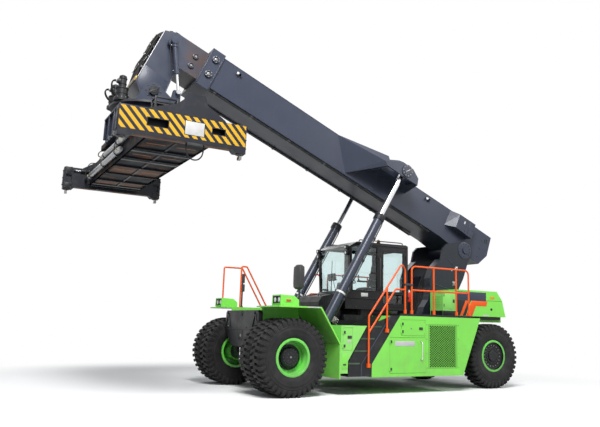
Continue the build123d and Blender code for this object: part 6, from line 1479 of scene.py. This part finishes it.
hood = Shape()
for side in (1, -1):
    for louvre in range(7):
        louvre_x = -1.84 + louvre * 0.062
        hood.box("black", at(louvre_x, side * 0.639, 1.82), at(louvre_x + 0.026, side * 0.648, 2.06), 0.004)
    hood.box("plastic", at(-1.4, side * 0.639, 1.86), at(-1.365, side * 0.65, 1.93), 0.005)
hood.box("black", at(-1.71, -0.62, 2.2165), at(-1.695, 0.62, 2.2265), 0.003)
for hand_y in (-0.38, 0.38):
    hood.hose("plastic", [at(-1.5, hand_y - 0.06, 2.168), at(-1.495, hand_y - 0.06, 2.205),
        at(-1.495, hand_y, 2.215), at(-1.495, hand_y + 0.06, 2.205), at(-1.5, hand_y + 0.06, 2.168)],
        0.009, 3)
for hinge_y in (-0.5, 0, 0.5):
    hood.bar("steel_dark", at(-1.938, hinge_y - 0.05, 2.192), at(-1.938, hinge_y + 0.05, 2.192), 0.012,
        sides=16, edge=0.002)
hood.box("black", at(-1.329, -0.55, 1.72), at(-1.322, 0.55, 1.95), 0.004)
for slot in range(9):
    hood.box("core", at(-1.3235, -0.48 + slot * 0.11, 1.745), at(-1.3195, -0.42 + slot * 0.11, 1.925), 0.002)
hood.finish("hood_fittings", "chassis", "black_paint")

# ---------------------------------------------------------------- driver's place
SEAT_X = -3.15
BACK_LEAN = -0.165
HEAD_LEAN = -0.12
PAD_EDGE = 0.028
PAD_VOXEL = 0.006
PAD_PRESSURE = 4.0
PAD_FRAMES = 20
PAD_SWELL = 0.024
SEAM_REACH = 0.022
SEAM_DEPTH = 0.007


def apply_modifiers(piece):
    """Make the mesh what its modifiers show, and drop them."""
    bpy.context.view_layer.update()
    seen = piece.evaluated_get(bpy.context.evaluated_depsgraph_get())
    made = bpy.data.meshes.new_from_object(seen)
    old = piece.data
    piece.modifiers.clear()
    piece.data = made
    bpy.data.meshes.remove(old)


def crowned_pad(name, low, high, lean):
    """Padded block: its clothed form swells under pressure between its edges."""
    low, high = Vector(low), Vector(high)
    part = bmesh.new()
    bmesh.ops.create_cube(part, size=1)
    bmesh.ops.scale(part, vec=high - low, verts=part.verts)
    bevel_edges(part, part.edges[:], PAD_EDGE, 3)
    bmesh.ops.transform(part, matrix=turned_at((low + high) / 2, lean, "Y"), verts=part.verts)
    bmesh.ops.recalc_face_normals(part, faces=part.faces)
    mesh = bpy.data.meshes.new(name)
    part.to_mesh(mesh)
    part.free()
    pad = bpy.data.objects.new(name, mesh)
    bpy.context.scene.collection.objects.link(pad)
    remesh = pad.modifiers.new("even_faces", "REMESH")
    remesh.mode = "VOXEL"
    remesh.voxel_size = PAD_VOXEL
    apply_modifiers(pad)
    start = [vertex.co.copy() for vertex in pad.data.vertices]
    cloth = pad.modifiers.new("stuffing", "CLOTH")
    cloth.settings.use_pressure = True
    cloth.settings.uniform_pressure_force = PAD_PRESSURE
    cloth.settings.effector_weights.gravity = 0
    cloth.settings.quality = 5
    cloth.point_cache.frame_start = 1
    cloth.point_cache.frame_end = PAD_FRAMES
    for step in range(1, PAD_FRAMES + 1):
        bpy.context.scene.frame_set(step)
    apply_modifiers(pad)
    bpy.context.scene.frame_set(1)
    for vertex, before in zip(pad.data.vertices, start):
        shift = vertex.co - before
        if shift.length > PAD_SWELL:
            vertex.co = before + shift.normalized() * PAD_SWELL
    return pad


def sewn_pad(name, low, high, seams, lean=0, across="X"):
    """Padded piece with sewn channels pressed into it and a rounded edge."""
    pad = crowned_pad(name, low, high, lean)
    middle = (Vector(low) + Vector(high)) / 2
    back = Matrix.Rotation(-lean, 4, "Y") @ Matrix.Translation(-middle)
    for vertex in pad.data.vertices:
        place = back @ vertex.co
        along = place.z if across == "Z" else place.x
        for seam in seams:
            near = abs(along - seam)
            if near < SEAM_REACH:
                vertex.co -= vertex.normal * SEAM_DEPTH * (1 - near / SEAM_REACH) ** 2
    softer = pad.modifiers.new("softer", "SUBSURF")
    softer.levels = 1
    softer.render_levels = 1
    pad.data.materials.clear()
    pad.data.materials.append(FINISHES["cloth"])
    for face in pad.data.polygons:
        face.use_smooth = True
    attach(pad, "cab")


sewn_pad("seat_cushion", at(SEAT_X - 0.215, -0.225, 2.335), at(SEAT_X + 0.245, 0.225, 2.435), (-0.06, 0.07))
sewn_pad("seat_backrest", at(SEAT_X - 0.285, -0.215, 2.48), at(SEAT_X - 0.185, 0.215, 3.06),
    (-0.12, 0.04, 0.17), BACK_LEAN, "Z")
sewn_pad("seat_headrest", at(SEAT_X - 0.33, -0.115, 3.105), at(SEAT_X - 0.265, 0.115, 3.25), (), HEAD_LEAN)

seat = Shape()
seat.box("plastic", at(SEAT_X - 0.17, -0.19, 1.931), at(SEAT_X + 0.17, 0.19, 2.0), 0.012)
for fold in range(7):
    wide = 0.165 if fold % 2 else 0.15
    seat.box("rubber", at(SEAT_X - wide, -wide - 0.02, 2.0 + fold * 0.032),
        at(SEAT_X + wide, wide + 0.02, 2.032 + fold * 0.032), 0.012)
seat.box("plastic", at(SEAT_X - 0.235, -0.235, 2.222), at(SEAT_X + 0.245, 0.235, 2.322), 0.028)
seat.box("plastic", (-0.018, -0.222, -0.3), (0.018, 0.222, 0.3), 0.016,
    turned_at(at(SEAT_X - 0.292, 0, 2.765), BACK_LEAN, "Y"))
for side in (1, -1):
    seat.bar("steel", at(SEAT_X - 0.296, side * 0.045, 3.02), at(SEAT_X - 0.3, side * 0.045, 3.13),
        0.007, sides=12)
    # Armrest with its control lever
    seat.box("plastic", at(SEAT_X - 0.2, side * 0.245 - 0.014, 2.4),
        at(SEAT_X - 0.15, side * 0.245 + 0.014, 2.62), 0.01)
    seat.box("plastic", at(SEAT_X - 0.21, side * 0.235, 2.61), at(SEAT_X + 0.16, side * 0.3, 2.655), 0.018)
    seat.bar("rubber", at(SEAT_X + 0.115, side * 0.268, 2.65), at(SEAT_X + 0.12, side * 0.268, 2.7),
        0.03, 0.014, 20, 0.003)
    seat.bar("plastic", at(SEAT_X + 0.12, side * 0.268, 2.69), at(SEAT_X + 0.128, side * 0.268, 2.8),
        0.012, 0.018, 18, 0.005)
seat.box("steel_dark", at(SEAT_X - 0.02, 0.232, 2.345), at(SEAT_X + 0.03, 0.255, 2.43), 0.006)
seat.finish("seat_frame", "cab", "black_plastic", stands_for=["seat"])

controls = Shape()
controls.plate("plastic", [(-2.29, 1.931), (-2.17, 1.931), (-2.235, 2.33), (-2.29, 2.545), (-2.47, 2.6),
    (-2.49, 2.56), (-2.395, 2.455)], 0.22, 0.018, Matrix.Translation(at(0, -0.11, 0)))
wheel_centre = at(-2.56, 0, 2.65)
screen_place = turned_at(at(-2.3, -0.4, 2.7), 0.25, "Y") @ Matrix.Rotation(0.3, 4, "Z")
wheel_axis = Vector((-0.52, 0, 0.85)).normalized()
wheel_turn = turn_to(wheel_axis)
controls.bar("plastic", at(-2.44, 0, 2.52), wheel_centre, 0.026, sides=20, edge=0.003)
ring = [(0.013 * math.sin(turn * math.pi / 6), 0.185 + 0.013 * math.cos(turn * math.pi / 6))
    for turn in range(12)]
controls.turned("plastic", ring, wheel_centre, wheel_axis, 56)
for spoke in range(3):
    turn = Matrix.Rotation(spoke * 2 * math.pi / 3 + 0.5, 4, "Z")
    controls.box("plastic", (0.02, -0.014, -0.006), (0.178, 0.014, 0.006), 0.004,
        Matrix.Translation(wheel_centre) @ wheel_turn @ turn)
controls.turned("plastic", [(-0.02, 0), (-0.02, 0.045), (0.012, 0.04), (0.02, 0.022), (0.02, 0)],
    wheel_centre, wheel_axis, 32)
controls.box("plastic", (-0.016, -0.135, -0.095), (0.016, 0.135, 0.095), 0.01, screen_place)
controls.box("screen", (-0.019, -0.118, -0.078), (-0.015, 0.118, 0.078), 0, screen_place)
controls.bar("steel_dark", at(-2.285, -0.4, 2.33), at(-2.292, -0.4, 2.62), 0.012, sides=14)
controls.box("plastic", at(-2.33, -0.46, 2.3), at(-2.235, -0.34, 2.345), 0.008)
for pedal_y in (-0.17, 0.17):
    controls.box("rubber", (-0.055, -0.04, -0.008), (0.055, 0.04, 0.008), 0.006,
        turned_at(at(-2.42, pedal_y, 2.02), -0.7, "Y"))
    controls.bar("steel_dark", at(-2.4, pedal_y, 2.01), at(-2.3, pedal_y, 1.945), 0.01, sides=12)
controls.finish("driver_controls", "cab", "black_plastic", stands_for=["console"])


# ---------------------------------------------------------------- spreader
BEAM_OUTER_Y = 3.015
BEAM_INNER_Y = 2.835
BEAM_TOP_Z = 5.2325
BEAM_LOW_Z = 4.7325
HALF_TURN = turned_at(on_spreader(0, 0, 0), math.pi, "Z") @ Matrix.Translation(-on_spreader(0, 0, 0))
STRIPE_PITCH = 0.166
STRIPE_WIDTH = 0.088
STRIPE_LEAN = 0.9
STRIPE_THICKNESS = 0.0018
# Parts of the striped face round its slots and the blank plate: low x, high x, low z, high z
STRIPED = (
    (-1.205, -0.795, 4.812, 5.228), (-0.795, -0.515, 4.812, 4.955), (-0.795, -0.515, 5.095, 5.228),
    (-0.515, -0.38, 4.812, 5.228), (-0.38, 0.013, 5.147, 5.228), (-0.38, 0.013, 4.812, 4.865),
    (0.013, 0.305, 4.812, 5.228), (0.305, 0.715, 4.812, 4.915), (0.305, 0.715, 5.085, 5.228),
    (0.715, 1.205, 4.812, 5.228),
)


def stripe_area(shape, low_x, high_x, low_z, high_z):
    """Leaning stripes on the end beam's outer face, cut off at an area's sides."""
    lean_low, lean_high = (STRIPE_LEAN * (z - BEAM_LOW_Z) for z in (low_z, high_z))
    number = math.floor((low_x - lean_high - STRIPE_WIDTH) / STRIPE_PITCH)
    while number * STRIPE_PITCH + lean_low < high_x:
        start = number * STRIPE_PITCH
        number += 1
        part = bmesh.new()
        outline = [(start + lean_low, low_z), (start + STRIPE_WIDTH + lean_low, low_z),
            (start + STRIPE_WIDTH + lean_high, high_z), (start + lean_high, high_z)]
        part.faces.new([part.verts.new(on_spreader(x, BEAM_OUTER_Y - 0.0005, z)) for x, z in outline])
        for edge_x, way in ((low_x, -1), (high_x, 1)):
            bmesh.ops.bisect_plane(part, geom=part.verts[:] + part.edges[:] + part.faces[:], dist=0.0001,
                plane_co=on_spreader(edge_x, 0, 0), plane_no=(way, 0, 0), clear_outer=True)
        if not part.faces:
            part.free()
            continue
        grown = bmesh.ops.extrude_face_region(part, geom=part.faces[:])
        moved = [item for item in grown["geom"] if isinstance(item, bmesh.types.BMVert)]
        bmesh.ops.translate(part, vec=(0, STRIPE_THICKNESS, 0), verts=moved)
        bmesh.ops.recalc_face_normals(part, faces=part.faces)
        shape.join(part, "yellow")


def end_beam_fittings():
    """Stripes, plates, lock collars and bolts of an end beam, at the left end."""
    shape = Shape()
    for area in STRIPED:
        stripe_area(shape, *area)
    for end in (1, -1):
        lock = on_spreader(end * 1.1295, 2.9265, 4.6725)
        shape.turned("steel_dark", [(0.0005, 0.041), (0.0005, 0.082), (-0.012, 0.082), (-0.02, 0.074),
            (-0.02, 0.041)], lock, "Z", 40)
        # Cover plates, guide flap hinge and bolts on the corner housing
        for low_z, high_z in ((4.69, 4.835), (5.06, 5.228)):
            shape.box("black", on_spreader(end * 1.11 - 0.085, BEAM_INNER_Y - 0.01, low_z),
                on_spreader(end * 1.11 + 0.085, BEAM_INNER_Y + 0.002, high_z), 0.003)
            for bolt_x in (-0.065, 0.065):
                for bolt_z in (low_z + 0.022, high_z - 0.022):
                    shape.bolt("steel_dark", on_spreader(end * 1.11 + bolt_x, BEAM_INNER_Y - 0.01, bolt_z),
                        (0, -1, 0), 0.012, 0.01)
        face_x = SPREADER_X + end * 1.219
        shape.box("black", at(face_x - end * 0.001, 2.86, 4.76), at(face_x + end * 0.012, 2.99, 5.17), 0.004)
        for bolt_y in (2.88, 2.97):
            for bolt_z in (4.79, 4.965, 5.14):
                shape.bolt("steel_dark", at(face_x + end * 0.012, bolt_y, bolt_z), (end, 0, 0), 0.014, 0.011)
        shape.box("steel_dark", on_spreader(end * 1.11 - 0.09, 2.86, BEAM_TOP_Z - 0.001),
            on_spreader(end * 1.11 + 0.09, 2.99, BEAM_TOP_Z + 0.014), 0.004)
        for bolt_x in (-0.065, 0.065):
            for bolt_y in (2.885, 2.965):
                shape.bolt("steel_dark", on_spreader(end * 1.11 + bolt_x, bolt_y, BEAM_TOP_Z + 0.014),
                    UP, 0.013, 0.01)
        # Lock turning cylinder and its link on the beam's inner face
        shape.bar("black", on_spreader(end * 0.6, BEAM_INNER_Y - 0.05, 5.155),
            on_spreader(end * 0.84, BEAM_INNER_Y - 0.05, 5.155), 0.032, sides=28, edge=0.004)
        shape.bar("chrome", on_spreader(end * 0.84, BEAM_INNER_Y - 0.05, 5.155),
            on_spreader(end * 0.985, BEAM_INNER_Y - 0.05, 5.155), 0.014, sides=20)
        shape.box("black", on_spreader(end * 0.62 - 0.03, BEAM_INNER_Y - 0.075, 5.115),
            on_spreader(end * 0.62 + 0.03, BEAM_INNER_Y + 0.002, 5.195), 0.004)
        shape.ball("steel_dark", on_spreader(end * 0.985, BEAM_INNER_Y - 0.05, 5.155), 0.026)
    # Blank plate on the outer face, and the flange along the top
    shape.box("plate", on_spreader(-0.367, BEAM_OUTER_Y - 0.0005, 4.877),
        on_spreader(0, BEAM_OUTER_Y + 0.0022, 5.134), 0.0006)
    shape.box("black", on_spreader(-0.795, BEAM_OUTER_Y - 0.04, BEAM_TOP_Z - 0.002),
        on_spreader(0.76, BEAM_OUTER_Y + 0.004, BEAM_TOP_Z + 0.006), 0.002)
    # Primer shows brown along the underside
    shape.box("brown", on_spreader(-0.925, BEAM_INNER_Y + 0.004, BEAM_LOW_Z - 0.0018),
        on_spreader(-0.42, BEAM_OUTER_Y - 0.004, BEAM_LOW_Z + 0.001), 0.0005)
    shape.box("brown", on_spreader(-0.05, BEAM_INNER_Y + 0.004, BEAM_LOW_Z - 0.0018),
        on_spreader(0.925, BEAM_OUTER_Y - 0.004, BEAM_LOW_Z + 0.001), 0.0005)
    # Rod sleeve of this beam's stroke cylinder, and its nut on the beam
    rod_x = SPREADER_X + 0.695
    shape.bar("chrome", at(rod_x, 2.352, 5.13), at(rod_x, BEAM_INNER_Y - 0.02, 5.13), 0.0355, sides=40)
    shape.hexagon("steel_dark", at(rod_x, BEAM_INNER_Y - 0.07, 5.13),
        at(rod_x, BEAM_INNER_Y + 0.001, 5.13), 0.06, 0.005)
    return shape


left_fittings = end_beam_fittings()
left_fittings.finish("end_beam_fittings_left", "beam_left", "dark_paint")
right_fittings = end_beam_fittings()
bmesh.ops.transform(right_fittings.mesh, matrix=HALF_TURN, verts=right_fittings.mesh.verts)
right_fittings.finish("end_beam_fittings_right", "beam_right", "dark_paint")

carrier = Shape()
for side, tube_z in ((1, 5.13), (-1, 4.945)):
    tube_x = SPREADER_X + 0.695
    near, far = sorted((side * -0.902, side * 2.3505))
    clamps = sorted(side * place for place in (-0.6, 0.7, 2.1))
    stops = [near] + [edge for place in clamps for edge in (place - 0.031, place + 0.031)] + [far]
    for start, end in zip(stops[::2], stops[1::2]):
        carrier.bar("silver", at(tube_x, start, tube_z), at(tube_x, end, tube_z), 0.0572, sides=48)
    carrier.bar("steel_dark", at(tube_x, side * 2.351, tube_z), at(tube_x, side * 2.315, tube_z), 0.066,
        sides=44, edge=0.004)
    for clamp_y in clamps:
        carrier.turned("steel_dark", [(-0.024, 0.057), (0.024, 0.057), (0.024, 0.068), (-0.024, 0.068)],
            at(tube_x, clamp_y, tube_z), "Y", 36)
        for bolt_z in (-0.078, 0.078):
            carrier.box("steel_dark", at(tube_x - 0.02, clamp_y - 0.022, tube_z + bolt_z - 0.018),
                at(tube_x + 0.02, clamp_y + 0.022, tube_z + bolt_z + 0.018), 0.004)
    for port_y in (side * -0.84, side * 2.26):
        carrier.hexagon("brass", at(tube_x, port_y, tube_z), at(tube_x + 0.075, port_y, tube_z), 0.018)
        carrier.hose("rubber", [at(tube_x + 0.06, port_y, tube_z), at(tube_x + 0.105, port_y, tube_z),
            at(tube_x + 0.11, port_y, tube_z + 0.08), at(tube_x + 0.05, port_y, 5.275),
            on_spreader(0.56, port_y, 5.285), on_spreader(0.4, port_y - side * 0.1, 5.272)], 0.011, 3)
# Ribs across the underside, with worn bays and lit slots between them, and the edge flanges
RIBS = (-2.62, -1.75, -0.88, 0, 0.88, 1.75, 2.62)
for rib_y in RIBS:
    carrier.box("beam_black", on_spreader(-0.6, rib_y - 0.012, 4.778),
        on_spreader(0.6, rib_y + 0.012, 4.8205), 0.003)
for bay_y in (-2.42, 0.66, 1.53):
    carrier.box("beam_black", on_spreader(-0.6, bay_y - 0.07, 4.795),
        on_spreader(0.6, bay_y + 0.07, 4.8205), 0.006)
for bay, low_y, high_y in ((0, -2.58, -1.8), (2, -0.84, -0.04), (4, 0.92, 1.42), (5, 1.8, 2.58)):
    for side in (1, -1):
        finish = "brown" if bay in (0, 2) else "patched"
        carrier.box(finish, on_spreader(side * 0.04, low_y, 4.8165),
            on_spreader(side * 0.54, high_y, 4.8205), 0.001)
        slot_y = (low_y + high_y) / 2
        # Orange-brown patch in each slot: painted light where the slot is lit
        carrier.box("slot_light", on_spreader(side * 0.3 - 0.19, slot_y - 0.018, 4.8135),
            on_spreader(side * 0.3 + 0.19, slot_y + 0.018, 4.8205), 0.002)
carrier.box("beam_black", on_spreader(-0.022, -2.62, 4.8), on_spreader(0.022, 2.62, 4.8205), 0.003)
for side in (1, -1):
    for low, high in (((-0.63, 4.815), (-0.1, 4.85)), ((0.1, 4.815), (0.63, 4.85)),
            ((-0.63, 5.232), (0.63, 5.268))):
        carrier.box("black", on_spreader(low[0], side * 2.66, low[1]),
            on_spreader(high[0], side * 2.708, high[1]), 0.004)
    for flange_x in (-0.628, 0.588):
        carrier.box("black", on_spreader(flange_x, -2.7, 4.805),
            on_spreader(flange_x + 0.04, 2.7, 4.822), 0.003)
    for bolt_x in (-0.55, -0.32, -0.09, 0.09, 0.32, 0.55):
        carrier.bolt("steel_dark", on_spreader(bolt_x, side * 2.708, 5.2495), (0, side, 0), 0.011, 0.009)
# Cover plates on the rear wall, and hoses between the rails
for number in range(5):
    cover_y = -2.0 + number
    carrier.box("slate", on_spreader(-0.629, cover_y - 0.3, 4.93),
        on_spreader(-0.6195, cover_y + 0.3, 5.16), 0.003)
    for bolt_y in (-0.27, 0.27):
        for bolt_z in (4.955, 5.135):
            carrier.bolt("steel_dark", on_spreader(-0.629, cover_y + bolt_y, bolt_z), (-1, 0, 0), 0.012, 0.01)
for number in range(4):
    lane = SPREADER_X - 0.25 + number * 0.045
    carrier.hose("rubber", [at(lane, -2.45, 5.262), at(lane, -2.4, 5.292), at(lane, -2.2, 5.29),
        at(lane + 0.02, 0, 5.3), at(lane, 1.55, 5.29), at(lane, 1.8, 5.3), at(lane + 0.04, 1.95, 5.268)],
        0.013, 3)
for clip_y in (-2.1, -1.2, -0.3, 0.6, 1.4):
    carrier.box("steel_dark", on_spreader(-0.285, clip_y - 0.018, 5.261),
        on_spreader(-0.075, clip_y + 0.018, 5.322), 0.005)
# Open frame that holds the valves near the left end, and its hoses
VALVE_FRAME_X = (2.86, 3.3)
VALVE_FRAME_Y = (1.9, 2.16)
for post_x in VALVE_FRAME_X:
    for post_y in VALVE_FRAME_Y:
        carrier.box("black", at(post_x - 0.02, post_y - 0.02, 5.261),
            at(post_x + 0.02, post_y + 0.02, 5.8), 0.004)
for bar_z in (5.5, 5.78):
    for post_y in VALVE_FRAME_Y:
        carrier.box("black", at(VALVE_FRAME_X[0], post_y - 0.016, bar_z - 0.016),
            at(VALVE_FRAME_X[1], post_y + 0.016, bar_z + 0.016), 0.004)
    for post_x in VALVE_FRAME_X:
        carrier.box("black", at(post_x - 0.016, VALVE_FRAME_Y[0], bar_z - 0.016),
            at(post_x + 0.016, VALVE_FRAME_Y[1], bar_z + 0.016), 0.004)
carrier.box("black", at(2.9, 1.93, 5.261), at(3.26, 2.13, 5.47), 0.01)
for number in range(5):
    port_x = 2.93 + number * 0.075
    carrier.hexagon("brass", at(port_x, 2.03, 5.465), at(port_x, 2.03, 5.505), 0.017)
    carrier.hose("rubber", [at(port_x, 2.03, 5.5), at(port_x, 2.03, 5.6 + number * 0.02),
        at(port_x + 0.05, 1.95, 5.66), at(port_x + 0.06, 1.8, 5.5), at(port_x + 0.02, 1.79, 5.34),
        at(port_x - 0.02, 1.74, 5.275)], 0.011, 3)
    carrier.hexagon("brass", at(port_x, 2.128, 5.36), at(port_x, 2.155, 5.36), 0.015)
for side in (1, -1):
    for rail_end in (1, -1):
        carrier.box("black", on_spreader(side * 0.43 - 0.03, rail_end * 1.705 - 0.02, 5.262),
            on_spreader(side * 0.43 + 0.03, rail_end * 1.705 + 0.02, 5.6), 0.004)
        wedge = [(0, 0), (0.17, 0), (0, 0.24)]
        turn = turned_at(on_spreader(side * 0.43 + 0.009, rail_end * 1.715, 5.261),
            rail_end * math.pi / 2, "Z")
        carrier.plate("black", wedge, 0.018, 0.003, turn)
carrier.finish("spreader_fittings", "spreader", "dark_paint")

# Slewing frame: bolts on its round plate and its guide plates
slew = Shape()
slew.bolt_ring("steel_dark", on_spreader(0, 0, 5.9795), (0, 0, -1), 0.52, 24, 0.018, 0.014)
for side in (1, -1):
    face_x = SPREADER_X + side * 0.7
    for number in range(7):
        slew.bolt("steel_dark", at(face_x, -0.66 + number * 0.22, 5.452), (side, 0, 0), 0.02, 0.015)
        if number % 2:
            slew.bolt("steel_dark", at(face_x, -0.66 + number * 0.22, 5.8), (side, 0, 0), 0.02, 0.015)
    for rib_y in (-0.72, -0.25, 0.25, 0.72):
        slew.box("slate", at(face_x - side * 0.002, rib_y - 0.012, 5.5),
            at(face_x + side * 0.055, rib_y + 0.012, 5.975), 0.004)
    slew.box("slate", at(face_x - side * 0.002, -0.745, 5.965), at(face_x + side * 0.06, 0.745, 5.99), 0.004)
# Side shift cylinder between the slewing frame and its guides
slew.bar("black", on_spreader(0.18, -0.7, 5.68), on_spreader(0.18, 0.3, 5.68), 0.045, sides=36, edge=0.005)
slew.bar("chrome", on_spreader(0.18, 0.3, 5.68), on_spreader(0.18, 0.7, 5.68), 0.024, sides=28)
for foot_y in (-0.7, 0.7):
    slew.box("slate", on_spreader(0.12, foot_y - 0.02, 5.61), on_spreader(0.24, foot_y + 0.02, 5.845), 0.006)
slew.finish("slewing_frame_fittings", "slew_frame", "dark_paint")


# ---------------------------------------------------------------- finishes of the CAD pieces, and the end
for name in NODES:
    dress(name, SLOT_FINISH[SLOTS[name]])
for name, finish in NODE_FINISH.items():
    dress(name, finish)

bpy.context.view_layer.update()
